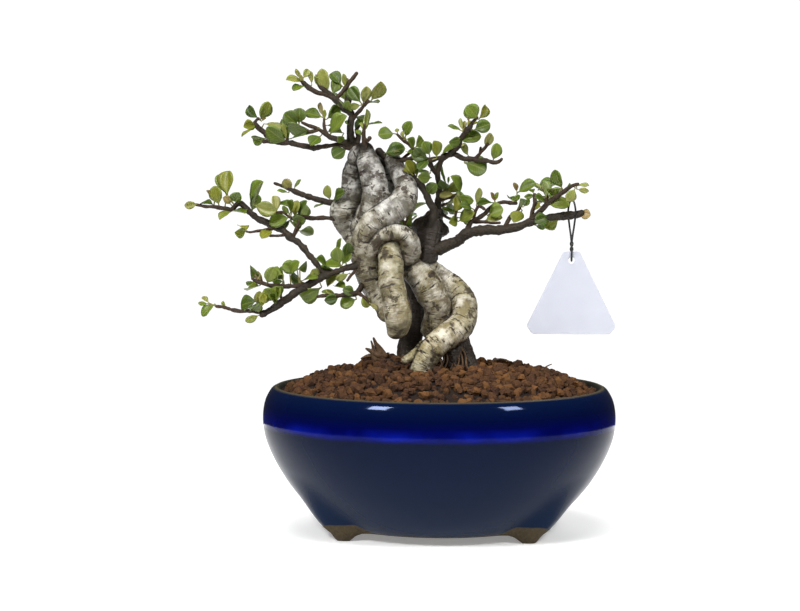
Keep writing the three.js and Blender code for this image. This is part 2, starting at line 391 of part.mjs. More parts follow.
       [-18, -3, 215.5, 1.4], [-13, -5, 216.5, 1.3], [-8.5, -7, 216, 1.2], [-4.5, -9, 215, 1]],
      [[-22, 0, 215, 1], [-18.5, 2, 218, 0.9], [-16, 3, 220, 0.8]],
      [[-12.5, -5, 217, 1], [-13.5, -6, 220.5, 1], [-17, -7, 224, 0.9], [-20.5, -8, 226.5, 0.9],
       [-23.5, -9, 229.5, 0.8]],
    ],
    'leaves': [
      [-25, -9, 230, -8.5, -5, 0, 7.5, 10], [-19, -8, 228, 2.5, -5, 8.5, 6.5, -25],
      [-13.5, -6.5, 222, 5, 7, 6, 7, 35], [-14, -6.5, 221.5, -3.5, -6.5, 5.5, 6, 30],
      [-32, 1.5, 218.5, 11.5, -5, 4, 8.5, -10], [-5, -8.5, 217.5, -3.5, -3.5, 8, 6.5, 10],
      [-1, -9, 216, -1.5, -3, 10, 7, 35], [-5.5, -8.5, 215.5, -10, -3, 3.5, 7.5, -10],
      [-5.5, -8.5, 215, -5.5, -7, -4, 6.5, 25], [-12, -5, 217.5, -6.5, 6.5, 2.5, 6, 35],
      [-8, -7, 216.5, -4.5, -8, 4, 6.5, -40],
    ],
  },
  'spray_back_left': {
    'twigs': [
      [[-46, 12, 203, 2.2], [-44, 20, 206, 1.9], [-42, 30, 205, 1.6], [-42, 40, 208, 1.3],
       [-40, 50, 207, 1]],
      [[-43, 26, 206, 1.1], [-37, 33, 203, 1], [-33, 42, 202, 0.8]],
      [[-42, 34, 206, 1.1], [-46, 39, 201, 1], [-50, 45, 197, 0.8]],
    ],
    'leaves': [
      [-42, 27, 206, 5, 5, 6.5, 6.5, -100], [-41.5, 37, 206.5, 4, 8, -1, 6.5, -95],
      [-43, 37, 207, -7, 4.5, 3.5, 6.5, 95], [-41.5, 37, 208, 2.5, 4.5, 9.5, 8.5, -55],
      [-41.5, 46, 207.5, -4.5, 8, 2, 7, 80], [-40.5, 45.5, 208.5, 4.5, 6.5, 7, 8.5, -80],
      [-40.5, 45.5, 207, 6.5, 6.5, -5.5, 9, -130], [-39, 29.5, 204.5, 6, 1, 4, 3.5, -135],
      [-40, 30, 203.5, -2.5, 5, -8, 7, 160], [-34.5, 36.5, 202, 9, 4.5, -3.5, 7.5, -115],
      [-35.5, 37, 202.5, -5, 9, 2, 7.5, 100], [-34.5, 37, 203, 5.5, 2.5, 6, 7, -145],
      [-45, 38, 203, -4.5, 7.5, 3.5, 6.5, 60], [-44.5, 38, 202, 6, 7, -3, 8, -150],
      [-45, 37, 202, -8, -0.5, -6.5, 7.5, 85], [-49.5, 44.5, 197, 2, 6.5, -5, 7, 170],
      [-50, 44, 197, -6.5, 2.5, -2, 3.5, 115], [-49.5, 45, 197.5, -3, 8, 2, 6.5, 90],
      [-49.5, 44.5, 197, -1.5, 9.5, -2.5, 8.5, 35],
    ],
  },
  'spray_back_right': {
    'twigs': [
      [[-9, 11, 168, 2.4], [-12, 19, 172, 2], [-19, 29, 174, 1.7], [-23, 39, 178, 1.4],
       [-26, 51, 179, 1]],
      [[-18, 28, 174, 1.1], [-25, 33, 170, 1], [-31, 41, 168, 0.8]],
      [[-21, 34, 176, 1.1], [-20, 42, 182, 1], [-17, 50, 186, 0.8]],
    ],
    'leaves': [
      [-17, 27, 172.5, -1.5, 9.5, -4, 8, 90], [-18, 26, 173.5, -8, -0.5, 2.5, 6.5, 90],
      [-17, 26.5, 174.5, -2, 5, 8.5, 7.5, -60], [-22, 33, 176, -7.5, 2.5, 5, 7.5, 95],
      [-20, 33.5, 176, 3.5, 7.5, 6.5, 7.5, -55], [-23.5, 43.5, 179, 5, 5.5, 6.5, 7, -90],
      [-25, 43, 179, -8, 3, 5.5, 7, 110], [-23, 32, 171, -4, 9, 4, 7.5, -20],
      [-23, 32, 170.5, 2, 7.5, -7.5, 7.5, -165], [-24, 31, 171, -9.5, -2.5, 1.5, 7, 110],
      [-29, 38, 168, -4.5, 1, -7.5, 7, 120], [-29.5, 38, 169, -7, 1.5, 7, 8, 100],
      [-29, 38.5, 169, 0.5, 5.5, 9, 8.5, -35], [-20, 39, 180.5, 5, 2.5, 6.5, 7, -75],
      [-21, 39.5, 180.5, -5.5, 1.5, 6.5, 6, 105], [-18.5, 47.5, 184, -2, 9.5, -3, 7, 115],
      [-18, 46.5, 184.5, 7.5, 0.5, 6, 6.5, -95],
    ],
  },
};

function seededDraw(seed) {
  let state = seed;
  return () => {
    state = (state * 1664525 + 1013904223) % 4294967296;
    return state / 4294967296;
  };
}

// Closed three.js geometry to a solid, and back
function solidOf(geometry) {
  const bare = geometry.index ? geometry.toNonIndexed() : geometry.clone();
  bare.deleteAttribute('normal');
  bare.deleteAttribute('uv');
  const merged = mergeVertices(bare, 1e-4);
  return new wasm.Manifold(new wasm.Mesh({
    numProp: 3,
    vertProperties: new Float32Array(merged.attributes.position.array),
    triVerts: new Uint32Array(merged.index.array),
  }));
}

function geometryOf(solid) {
  const mesh = solid.getMesh();
  const geometry = new THREE.BufferGeometry();
  geometry.setAttribute('position', new THREE.BufferAttribute(mesh.vertProperties, 3));
  geometry.setIndex(new THREE.BufferAttribute(mesh.triVerts, 1));
  return geometry;
}

function joined(solids) {
  return solids.reduce((whole, next) => whole.add(next));
}

function largestPiece(solid) {
  return solid.decompose().reduce((best, next) => (next.volume() > best.volume() ? next : best));
}

// Closed solid from rings of equal size, its two ends closed with a fan to a point
function loft(rings, startPoint, endPoint) {
  const sides = rings[0].length;
  const corners = [startPoint, ...rings.flat(), endPoint];
  const index = [];
  const at = (ring, side) => 1 + ring * sides + (side % sides);
  for (let side = 0; side < sides; side += 1) {
    index.push(0, at(0, side + 1), at(0, side));
    index.push(corners.length - 1, at(rings.length - 1, side), at(rings.length - 1, side + 1));
    for (let ring = 0; ring < rings.length - 1; ring += 1) {
      index.push(at(ring, side), at(ring, side + 1), at(ring + 1, side + 1));
      index.push(at(ring, side), at(ring + 1, side + 1), at(ring + 1, side));
    }
  }
  const geometry = new THREE.BufferGeometry();
  geometry.setAttribute('position', new THREE.Float32BufferAttribute(corners.flat(), 3));
  geometry.setIndex(index);
  return geometry;
}

// Value part way along a smooth curve from b to c, with a before and d after them
function between(a, b, c, d, t) {
  const bend = 2 * a - 5 * b + 4 * c - d + t * (3 * (b - c) + d - a);
  return b + 0.5 * t * (c - a + t * bend);
}

// Smooth run through points of any number of values, with stations a step apart
function smoothRun(points, step) {
  const stations = [];
  for (let i = 0; i < points.length - 1; i += 1) {
    const before = points[Math.max(i - 1, 0)];
    const from = points[i];
    const to = points[i + 1];
    const after = points[Math.min(i + 2, points.length - 1)];
    const span = Math.hypot(to[0] - from[0], to[1] - from[1], to[2] - from[2]);
    const pieces = Math.max(1, Math.round(span / step));
    for (let k = 0; k < pieces; k += 1) {
      stations.push(from.map((value, c) => between(before[c], value, to[c], after[c], k / pieces)));
    }
  }
  stations.push(points[points.length - 1]);
  return stations;
}

// A path's points without those that lie close after the one before
function thinned(path, spacing) {
  const kept = [path[0]];
  path.slice(1, -1).forEach((point) => {
    const [x, y, z] = kept[kept.length - 1];
    if (Math.hypot(point[0] - x, point[1] - y, point[2] - z) > spacing) kept.push(point);
  });
  return [...kept, path[path.length - 1]];
}

// Rings round a run of stations [x, y, z, radius], each with its centre and its frame
function ringsAlong(stations, sides, grow) {
  const centres = stations.map((s) => new THREE.Vector3(s[0], s[1], s[2]));
  const side = new THREE.Vector3(0.36, 0.93, 0.08);
  return centres.map((centre, i) => {
    const ahead = centres[Math.min(i + 1, centres.length - 1)];
    const along = ahead.clone().sub(centres[Math.max(i - 1, 0)]).normalize();
    side.addScaledVector(along, -side.dot(along)).normalize();
    const other = new THREE.Vector3().crossVectors(along, side);
    const radius = stations[i][3] + grow;
    const corners = Array.from({ length: sides }, (_, k) => {
      const angle = (2 * Math.PI * k) / sides;
      return centre.clone().addScaledVector(side, radius * Math.cos(angle))
        .addScaledVector(other, radius * Math.sin(angle));
    });
    return { centre, along, radius, corners };
  });
}

function domePoint(ring, way) {
  return ring.centre.clone().addScaledVector(ring.along, way * 0.55 * ring.radius);
}

// Round limb along points [x, y, z, radius], with domed ends
function limb(points, sides, step, grow = 0) {
  const rings = ringsAlong(smoothRun(points, step), sides, grow);
  return solidOf(loft(rings.map((ring) => ring.corners.map((corner) => corner.toArray())),
    domePoint(rings[0], -1).toArray(), domePoint(rings[rings.length - 1], 1).toArray()));
}

function burr([x, y, z, radius], grow = 0) {
  const geometry = new THREE.IcosahedronGeometry(radius + grow, 1);
  geometry.translate(x, y, z);
  return solidOf(geometry);
}

// Inside of the wall, from the lip down to the pot's floor
const potInside = [
  [92, 82.2], [94.6, 74], [bellyHalfWidth - wallThickness, 63], [91.5, 47], [82, 31.5],
  [69, 18.5], [52, floorTop],
];

// Angles of the oval's points all the way round
const ovalAngles = [0, 90, 180, 270].flatMap((quarter, k) => {
  const within = k % 2 === 0 ? quarterAngles : [0, ...quarterAngles.slice(1).map((a) => 90 - a).reverse()];
  return within.map((angle) => quarter + angle);
});

// How much the pot swells at a corner, for an angle round the oval and a height
function swellAt(angle, z) {
  const folded = Math.abs(((angle + 90) % 180) - 90);
  const away = folded - (cornerAngle - cornerLean * z);
  const spread = away > 0 ? cornerFrontSpread : cornerSideSpread;
  const height = Math.max(0, 1 - z / cornerTop);
  return 1 + cornerSwell * height ** 1.8 * Math.exp(-((away / spread) ** 2));
}

// Ring of the oval at a half width and a height
function ovalRing([half, z], swollen) {
  return ovalAngles.map((angle) => {
    const turn = THREE.MathUtils.degToRad(angle);
    const reach = half * (swollen ? swellAt(angle, z) : 1);
    return [reach * Math.cos(turn), reach * potDepthRatio * Math.sin(turn), z];
  });
}

// A foot's nub as [height, radius], flat on the ground
const footSections = [[0, 4.4], [2, 6.2], [5, 7.6], [9, 8.2], [14, 7.4]];

function potFoot(signX, signY) {
  const sides = 12;
  const rings = footSections.map(([z, radius]) => Array.from({ length: sides }, (_, k) => {
    const angle = (2 * Math.PI * k) / sides;
    const x = signX * (footReachX + 0.4 * z) + radius * Math.cos(angle);
    return [x, signY * (footReachY - 0.25 * z) + radius * Math.sin(angle), z];
  }));
  const [topZ] = footSections[footSections.length - 1];
  const top = [signX * (footReachX + 0.4 * topZ), signY * (footReachY - 0.25 * topZ), topZ];
  return solidOf(loft(rings, [signX * footReachX, signY * footReachY, 0], top));
}

function makePot() {
  const lip = [[93.4, 83.8]];
  const rings = [
    ...potOutside.map((place) => ovalRing(place, true)),
    ...[...lip, ...potInside].map((place) => ovalRing(place, false)),
  ];
  const body = solidOf(loft(rings, [0, 0, undersideHeight], [0, 0, floorTop]));
  const feet = [[-1, -1], [1, -1], [-1, 1], [1, 1]].map(([sx, sy]) => potFoot(sx, sy));
  const holes = [-drainHoleX, drainHoleX].map((x) => {
    const drill = new THREE.CylinderGeometry(drainHoleRadius, drainHoleRadius, 20, 20);
    drill.rotateX(Math.PI / 2);
    drill.translate(x, 0, undersideHeight + 3);
    return solidOf(drill);
  });
  return body.add(joined(feet)).subtract(joined(holes));
}

// Height of the soil at a point, without its grains
function soilHeight(x, y) {
  const out = Math.min(1, Math.hypot(x, y / potDepthRatio) / 90);
  const hump = Math.exp(-((x - humpX) ** 2 + (y - humpY) ** 2) / (2 * humpSpread ** 2));
  return soilEdgeHeight + moundRise * (1 - out ** 4.2) + humpRise * hump;
}

function makeSoil(taken) {
  const draw = seededDraw(71);
  const fit = seatGap + 0.1;
  const sideProfile = potInside.slice(1).map(([r, z]) => [r - fit, Math.max(z, floorTop + fit)]);
  const rings = sideProfile.slice().reverse().map((place) => ovalRing(place, false));
  const topHalfWidth = 91.2;
  for (let ring = 0; ring < soilRings; ring += 1) {
    const half = topHalfWidth * (1 - ring / soilRings);
    rings.push(ovalRing([half, 0], false).map(([x, y]) => {
      const rough = ring === 0 ? 0 : 1;
      return [x, y, soilHeight(x, y) + rough * grainRelief * (2 * draw() - 1)];
    }));
  }
  const soil = solidOf(loft(rings, [0, 0, floorTop + fit], [0, 0, soilHeight(0, 0)]));
  return largestPiece(soil.subtract(taken));
}

function block(x, y, z, width, depth, height) {
  const geometry = new THREE.BoxGeometry(width, depth, height);
  geometry.translate(x, y, z);
  return solidOf(geometry);
}

// Square plastic net over a drain hole
function makeScreen(x) {
  const z = floorTop + seatGap + screenThickness / 2;
  const plate = block(x, 0, z, screenWidth, screenWidth, screenThickness);
  const holes = [];
  for (let column = -1; column <= 1; column += 1) {
    for (let row = -1; row <= 1; row += 1) {
      holes.push(block(x + column * screenPitch, row * screenPitch, z, screenHole, screenHole, 3));
    }
  }
  return plate.subtract(joined(holes));
}

// Room that a net takes at the bottom of the soil
function makeScreenRoom(x) {
  const width = screenWidth + 2 * seatGap;
  const height = 2 * (screenThickness + 2 * seatGap);
  return block(x, 0, floorTop, width, width, height);
}

function makeTrunk(grow) {
  const limbs = Object.values(strands)
    .map((path) => limb(thinned(path, 7), path[0][3] > 4 ? 7 : 6, 9, grow));
  return joined([...limbs, ...burrs.map((place) => burr(place, grow))]);
}

// A leaf as one solid with a ridge below, from the middle of the nearest twig to its tip
function leaf([x, y, z, reachX, reachY, reachZ, width, turned], wood) {
  const foot = new THREE.Vector3(x, y, z);
  const reach = new THREE.Vector3(reachX, reachY, reachZ);
  const toward = reach.clone().normalize();
  const face = new THREE.Vector3(0, -1, 0.3);
  face.addScaledVector(toward, -face.dot(toward)).normalize();
  face.applyAxisAngle(toward, THREE.MathUtils.degToRad(turned));
  const across = new THREE.Vector3().crossVectors(face, toward);
  const point = (part, out, lift) => foot.clone().addScaledVector(reach, part)
    .addScaledVector(across, out).addScaledVector(face, lift - leafDroop * reach.length() * part * part);
  const rings = leafStations.map(([part, wide]) => [
    point(part, 0.5 * width * wide, leafFold).toArray(),
    point(part, -0.5 * width * wide, leafFold).toArray(),
    point(part, 0, -leafRidge).toArray(),
  ]);
  const start = wood.reduce((best, place) => (
    foot.distanceToSquared(place) < foot.distanceToSquared(best) ? place : best));
  return solidOf(loft(rings, start.toArray(), point(1, 0, 0).toArray()));
}

// A leafy branch, its twigs and leaves joined and cut clear of what carries it
function makeSpray({ twigs, leaves }, taken) {
  const limbs = twigs.map((path) => limb(
    thinned(path, twigSpacing), path[0][3] > thickTwig ? 6 : 4, twigStep,
  ));
  const wood = twigs.flatMap((path) => smoothRun(path, 1))
    .map((station) => new THREE.Vector3(station[0], station[1], station[2]));
  const solids = leaves.map((place) => leaf(place, wood));
  return largestPiece(joined([...limbs, ...solids]).subtract(taken));
}

function makeTag() {
  const half = tagWidth / 2;
  const side = half - tagTopWidth / 2;
  const cut = tagCornerCut / tagHeight;
  const outline = new THREE.Shape([
    [tagTopWidth / 2, 0], [-tagTopWidth / 2, 0],
    [-half + cut * side, -tagHeight + tagCornerCut], [-half + 2 * cut * side + 1, -tagHeight],
    [half - 2 * cut * side - 1, -tagHeight], [half - cut * side, -tagHeight + tagCornerCut],
  ].map(([x, z]) => new THREE.Vector2(x, z)));
  const hole = new THREE.Path();
  hole.absarc(0, -tagHoleDrop, tagHoleRadius, 0, 2 * Math.PI, true);
  outline.holes.push(hole);
  const geometry = new THREE.ExtrudeGeometry(outline, {
    depth: tagThickness, bevelEnabled: false, curveSegments: 10,
  });
  geometry.rotateX(Math.PI / 2);
  geometry.translate(tagX, tagY + tagThickness / 2, tagTopZ);
  return solidOf(geometry);
}

// Wire hung over the branch and put once through the tag's hole, a closed loop. The hook is
// turned towards the viewer at its top and stands across the hole at its bottom.
function makeTagWire() {
  const sides = 6;
  const route = [];
  for (let k = 0; k <= 8; k += 1) {
    const angle = (Math.PI * k) / 8;
    route.push([-hookHalf * Math.cos(angle), hookZ + hookRise * Math.sin(angle)]);
  }
  route.push([hookHalf * 0.6, hookZ - 6], [1.2, hookZ - 12]);
  const lowZ = tagTopZ - tagHoleDrop + 1.2;
  for (let k = 0; k <= 4; k += 1) {
    const angle = (Math.PI * k) / 4;
    route.push([eyeRadius * Math.cos(angle), lowZ - eyeRadius * Math.sin(angle)]);
  }
  route.push([-1.2, hookZ - 12], [-hookHalf * 0.6, hookZ - 6]);
  const corners = [];
  const index = [];
  const count = route.length;
  route.forEach(([reach, z], i) => {
    const [beforeReach, beforeZ] = route[(i + count - 1) % count];
    const [afterReach, afterZ] = route[(i + 1) % count];
    const length = Math.hypot(afterReach - beforeReach, afterZ - beforeZ);
    const outReach = (afterZ - beforeZ) / length;
    const outZ = -(afterReach - beforeReach) / length;
    const share = THREE.MathUtils.clamp((z - lowZ) / (hookZ - lowZ), 0, 1);
    const turn = THREE.MathUtils.degToRad(hookTurn * share);
    for (let k = 0; k < sides; k += 1) {
      const angle = (2 * Math.PI * k) / sides;
      const out = reach + wireRadius * Math.cos(angle) * outReach;
      const aside = wireRadius * Math.sin(angle);
      corners.push(tagX - out * Math.sin(turn) + aside * Math.cos(turn),
        tagY + out * Math.cos(turn) + aside * Math.sin(turn),
        z + wireRadius * Math.cos(angle) * outZ);
      const here = i * sides;
      const there = ((i + 1) % count) * sides;
      const nextSide = (k + 1) % sides;
      index.push(here + k, there + k, there + nextSide);
      index.push(here + k, there + nextSide, here + nextSide);
    }
  });
  const geometry = new THREE.BufferGeometry();
  geometry.setAttribute('position', new THREE.Float32BufferAttribute(corners, 3));
  geometry.setIndex(index);
  return solidOf(geometry);
}

const group = new THREE.Group();
group.position.x = potOffsetX;

function addPiece(name, solid, colour, roughness) {
  const material = new THREE.MeshStandardMaterial({ color: colour, roughness, metalness: 0 });
  const mesh = new THREE.Mesh(geometryOf(solid), material);
  mesh.name = name;
  group.add(mesh);
}

const trunk = makeTrunk(0);
const trunkGrown = makeTrunk(seatGap + 0.05);
addPiece('pot', makePot(), colours.glaze, 0.15);
addPiece('drain_mesh_left', makeScreen(-drainHoleX), colours.mesh, 0.6);
addPiece('drain_mesh_right', makeScreen(drainHoleX), colours.mesh, 0.6);
const screenRoom = makeScreenRoom(-drainHoleX).add(makeScreenRoom(drainHoleX));
addPiece('soil', makeSoil(trunkGrown.add(screenRoom)), colours.soil, 0.95);
addPiece('trunk', trunk, colours.bark, 0.85);

const tag = makeTag();
const wire = makeTagWire();
let taken = joined([trunkGrown, tag, wire]);
Object.entries(sprays).forEach(([name, parts]) => {
  const spray = makeSpray(parts, taken);
  addPiece(name, spray, colours.leaf, 0.55);
  taken = taken.add(spray);
});
addPiece('tag', tag, colours.tag, 0.5);
addPiece('tag_wire', wire, colours.wire, 0.5);

export default group;
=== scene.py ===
import math
import random

import bpy
import numpy as np
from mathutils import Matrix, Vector, noise


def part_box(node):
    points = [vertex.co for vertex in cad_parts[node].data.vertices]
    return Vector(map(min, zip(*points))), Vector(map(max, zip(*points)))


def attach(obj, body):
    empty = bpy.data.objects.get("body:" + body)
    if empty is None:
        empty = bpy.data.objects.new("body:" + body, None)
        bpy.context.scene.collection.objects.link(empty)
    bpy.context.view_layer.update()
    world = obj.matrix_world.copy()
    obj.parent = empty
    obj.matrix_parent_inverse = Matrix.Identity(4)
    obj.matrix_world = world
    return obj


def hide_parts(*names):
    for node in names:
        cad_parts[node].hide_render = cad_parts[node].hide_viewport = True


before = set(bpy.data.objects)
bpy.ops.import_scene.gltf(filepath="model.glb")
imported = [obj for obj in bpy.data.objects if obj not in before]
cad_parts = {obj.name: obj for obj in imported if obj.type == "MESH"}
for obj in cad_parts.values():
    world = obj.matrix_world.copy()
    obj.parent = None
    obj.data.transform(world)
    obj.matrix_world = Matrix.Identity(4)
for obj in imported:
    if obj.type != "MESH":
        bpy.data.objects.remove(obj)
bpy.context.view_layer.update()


# The pot: one oval shell of stoneware with a rolled lip, pressed in a mould. Its corners swell
# towards the ground and end in four short feet, which the glaze leaves bare.

def linear(code):
    """An sRGB hex colour as linear values."""
    parts = [int(code[i:i + 2], 16) / 255 for i in (1, 3, 5)]
    return [c / 12.92 if c <= 0.04045 else ((c + 0.055) / 1.055) ** 2.4 for c in parts] + [1.0]


def add(tree, kind, sockets=None, **properties):
    """Adds a node with its properties, and fills its sockets or links them to other nodes.

    Sockets go by name or number. In a Mix node 0 is the share, 2 and 3 are values and 6 and 7
    colours. In a Map Range node 1 and 2 are the range that comes in, 3 and 4 the one that goes out.
    In a Random Value node 0 and 1 or 2 and 3 are the least and the most.
    """
    made = tree.nodes.new(kind)
    for name, value in properties.items():
        setattr(made, name, value)
    for name, value in (sockets or {}).items():
        if isinstance(value, bpy.types.Node):
            value = next(output for output in value.outputs if output.enabled)
        if isinstance(value, bpy.types.NodeSocket):
            tree.links.new(value, made.inputs[name])
        else:
            made.inputs[name].default_value = value
    return made


def new_material(name):
    """An empty material and its node tree."""
    material = bpy.data.materials.new(name)
    material.use_nodes = True
    material.node_tree.nodes.clear()
    return material, material.node_tree


def fill_ramp(node, *stops):
    """Puts colours along a ramp as (place, hex) stops, of which the first and last are its ends."""
    elements = node.color_ramp.elements
    elements[0].color, elements[1].color = linear(stops[0][1]), linear(stops[-1][1])
    for at, code in stops[1:-1]:
        elements.new(at).color = linear(code)


def smooth_run(points, step):
    """Stations about a step apart on a smooth curve through points of any number of values."""
    places = np.asarray(points, float)
    stations = []
    for i in range(len(places) - 1):
        a, d = places[max(i - 1, 0)], places[min(i + 2, len(places) - 1)]
        b, c = places[i], places[i + 1]
        pieces = max(1, round(np.linalg.norm((c - b)[:3]) / step))
        for t in np.arange(pieces) / pieces:
            bend = 2 * a - 5 * b + 4 * c - d + t * (3 * (b - c) + d - a)
            stations.append(b + 0.5 * t * (c - a + t * bend))
    return np.array([*stations, places[-1]])


def loft(rings, start, end):
    """Points and faces of a closed skin over rings of equal size, with a point at each end."""
    count, sides = len(rings), len(rings[0])
    points = np.vstack([[start], np.reshape(rings, (-1, 3)), [end]])
    index = 1 + np.arange(count * sides).reshape(count, sides)
    turned = np.roll(index, -1, axis=1)
    quads = np.stack([index[:-1], turned[:-1], turned[1:], index[1:]], axis=-1).reshape(-1, 4)
    caps = [(0, b, a) for a, b in zip(index[0].tolist(), turned[0].tolist())]
    caps += [(len(points) - 1, a, b) for a, b in zip(index[-1].tolist(), turned[-1].tolist())]
    return points, [*map(tuple, quads.tolist()), *caps]


def give(mesh, name, values, kind="FLOAT"):
    """Stores a value or a vector at each point of a mesh."""
    attribute = mesh.attributes.new(name, kind, "POINT")
    label = "vector" if kind == "FLOAT_VECTOR" else "value"
    attribute.data.foreach_set(label, np.ravel(values))


def mesh_piece(name, points, faces, material=None):
    """A smooth mesh object from points in millimetres round the pot's axis."""
    mesh = bpy.data.meshes.new(name)
    mesh.from_pydata(((np.asarray(points) + pot_axis) / 1000).tolist(), [], faces)
    mesh.shade_smooth()
    if material:
        mesh.materials.append(material)
    piece = bpy.data.objects.new(name, mesh)
    bpy.context.scene.collection.objects.link(piece)
    return piece


def settle(piece):
    """Turns a piece with its modifiers into a plain mesh."""
    depsgraph = bpy.context.evaluated_depsgraph_get()
    mesh = bpy.data.meshes.new_from_object(piece.evaluated_get(depsgraph), depsgraph=depsgraph)
    piece.modifiers.clear()
    piece.data = mesh


def keep(piece, slot, *nodes):
    """Puts a finished piece on the one body, in place of its CAD nodes."""
    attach(piece, "root")
    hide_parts(*nodes)


pot_low, pot_high = (np.array(corner) * 1000 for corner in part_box("pot"))
pot_axis = np.array([(pot_low[0] + pot_high[0]) / 2, 0, 0])
belly = (pot_high[0] - pot_low[0]) / 2
depth_ratio = (pot_high[1] - pot_low[1]) / (pot_high[0] - pot_low[0])
underside = 4
floor_top = 11
wall = 7
drain_x, drain_radius, drill_top = 32, 8, 16
foot_x, foot_y, foot_flat, foot_blend, foot_rise = 52, 36.5, 3.9, 2.7, 9
corner_angle, corner_lean, corner_swell, corner_top = 42, 0.27, 0.29, 38
front_spread, side_spread = 7, 14
glaze_low, glaze_rise, bare_radius, bare_blend = 5.2, 4.6, 9, 5
lip_half, lip_height, worn_width = 94.6, 83.2, 0.7

# Half widths and heights from the underside over the lip to the floor inside
pot_outside = [
    [59, underside], [64, 5.6], [73, 12.5], [82, 21.5], [89.5, 31], [96.5, 43], [101.2, 55],
    [belly, 66], [101.4, 75], [98.8, 80.8], [96.8, 83.3], [95, 84.2],
]
pot_inside = [
    [93.4, 83.8], [92, 82.2], [94.6, 74], [belly - wall, 63], [91.5, 47], [82, 31.5], [69, 18.5],
    [52, floor_top],
]


def oval(half, z, sides, swollen=False):
    """A ring of the pot's oval, with the swelling of its corners on the outside."""
    turn = np.radians(np.arange(sides) * 360 / sides)
    reach = np.full(sides, float(half))
    if swollen:
        folded = np.abs((np.degrees(turn) + 90) % 180 - 90)
        away = folded - (corner_angle - corner_lean * z)
        spread = np.where(away > 0, front_spread, side_spread)
        height = max(0, 1 - z / corner_top) ** 1.8
        fade = min(1, half / pot_outside[0][0]) ** 2
        reach *= 1 + corner_swell * height * fade * np.exp(-(away / spread) ** 2)
    points = [reach * np.cos(turn), depth_ratio * reach * np.sin(turn), np.full(sides, float(z))]
    return np.stack(points, axis=1)


pot_sides = 200
profile = smooth_run(pot_outside + pot_inside, 1.6)
outer_rings = next(
    i for i, (half, z) in enumerate(profile) if half < lip_half + 0.6 and z > lip_height + 0.8)
under_rings = [oval(half, underside, pot_sides, True) for half in np.linspace(5, 56, 18)]
rings = under_rings + [
    oval(half, z, pot_sides, i < outer_rings) for i, (half, z) in enumerate(profile)
]
points, faces = loft(rings, [0, 0, underside], [0, 0, floor_top])
outer_count = 1 + (len(under_rings) + outer_rings) * pot_sides
to_foot = np.hypot(np.abs(points[:, 0]) - foot_x, np.abs(points[:, 1]) - foot_y)
is_outer = np.arange(len(points)) < outer_count
foot_reach = np.exp(-(np.maximum(0, to_foot - foot_flat) / foot_blend) ** 2) * is_outer
above = (points[:, 2] - underside) / foot_rise
points[:, 2] -= underside * foot_reach * np.clip(1.15 - above, 0, 1)
points[:, 2] = np.maximum(points[:, 2], 0)

# Height at which the glaze ends: just above the underside, and higher over the feet
bare = np.exp(-(np.maximum(0, to_foot - bare_radius) / bare_blend) ** 2)
glaze_edge = glaze_low + glaze_rise * bare
inner = np.where(is_outer, 0.0, 1.0)
from_lip = np.hypot(points[:, 0], points[:, 1] / depth_ratio) - lip_half
rim = np.exp(-(from_lip / worn_width) ** 2) * (points[:, 2] > lip_height)

glaze, tree = new_material("cobalt glaze on stoneware")
place = add(tree, "ShaderNodeTexCoord").outputs["Object"]
height = add(tree, "ShaderNodeSeparateXYZ", {0: place}).outputs["Z"]
# Fired glaze is glass. Its colour changes with height as painted reflection: greyer and lighter
# below the belly, where the floor would be mirrored, and deep blue above it, where a dark ceiling
# would be. The brighter blue round the belly is partly glaze running thin and partly painted
# reflection
cloud = add(tree, "ShaderNodeTexNoise", {"Vector": place, "Scale": 1000 / 14, "Detail": 4.0})
drift = add(tree, "ShaderNodeMath", {0: cloud, 1: 0.0016, 2: -0.0008}, operation="MULTIPLY_ADD")
level = add(tree, "ShaderNodeMath", {0: height, 1: drift})
share = add(tree, "ShaderNodeMath", {0: level, 1: pot_high[2] / 1000}, operation="DIVIDE")
bands = add(tree, "ShaderNodeValToRGB", {"Fac": share})
fill_ramp(bands, (0, "#0d1c33"), (0.3, "#071327"), (0.68, "#020a21"), (0.733, "#02081e"),
          (0.745, "#010444"), (0.8, "#01033e"), (0.88, "#02082c"), (1, "#06122c"))
# A brighter blue band round the belly, in streaks: partly glaze running thin, partly painted
# reflection
bright_band_rise = add(tree, "ShaderNodeMapRange", {0: share, 1: 0.745, 2: 0.762})
bright_band_fall = add(tree, "ShaderNodeMapRange", {0: share, 1: 0.835, 2: 0.775})
patch = add(tree, "ShaderNodeTexNoise", {"Vector": place, "Scale": 1000 / 38, "Detail": 3.0})
streaks = add(tree, "ShaderNodeMapRange", {0: patch, 1: 0.46, 2: 0.66})
bright_band = add(tree, "ShaderNodeMath", {0: bright_band_rise, 1: bright_band_fall}, operation="MULTIPLY")
bright = add(tree, "ShaderNodeMath", {0: bright_band, 1: streaks}, operation="MULTIPLY")
blue = add(tree, "ShaderNodeMix", {0: bright, 6: bands, 7: linear("#051279")}, data_type="RGBA")
inside = add(tree, "ShaderNodeAttribute", attribute_name="inner").outputs["Fac"]
walled = add(tree, "ShaderNodeMix", {0: inside, 6: blue, 7: linear("#23241f")}, data_type="RGBA")
worn = add(tree, "ShaderNodeAttribute", attribute_name="rim").outputs["Fac"]
wear = add(tree, "ShaderNodeMath", {0: worn, 1: 0.8}, operation="MULTIPLY")
rimmed = add(tree, "ShaderNodeMix", {0: wear, 6: walled, 7: linear("#5c543f")}, data_type="RGBA")
edge = add(tree, "ShaderNodeAttribute", attribute_name="glaze_edge").outputs["Fac"]
above = add(tree, "ShaderNodeMath", {0: level, 1: edge}, operation="SUBTRACT")
glazed = add(tree, "ShaderNodeMapRange", {0: above, 1: -0.0003, 2: 0.0004})
clay_grain = add(tree, "ShaderNodeTexNoise", {"Vector": place, "Scale": 1000 / 1.2, "Detail": 6.0})
clay = add(tree, "ShaderNodeMix", {0: clay_grain, 6: linear("#2e281d"), 7: linear("#5a4e38")},
           data_type="RGBA")
colour = add(tree, "ShaderNodeMix", {0: glazed, 6: clay, 7: rimmed}, data_type="RGBA")
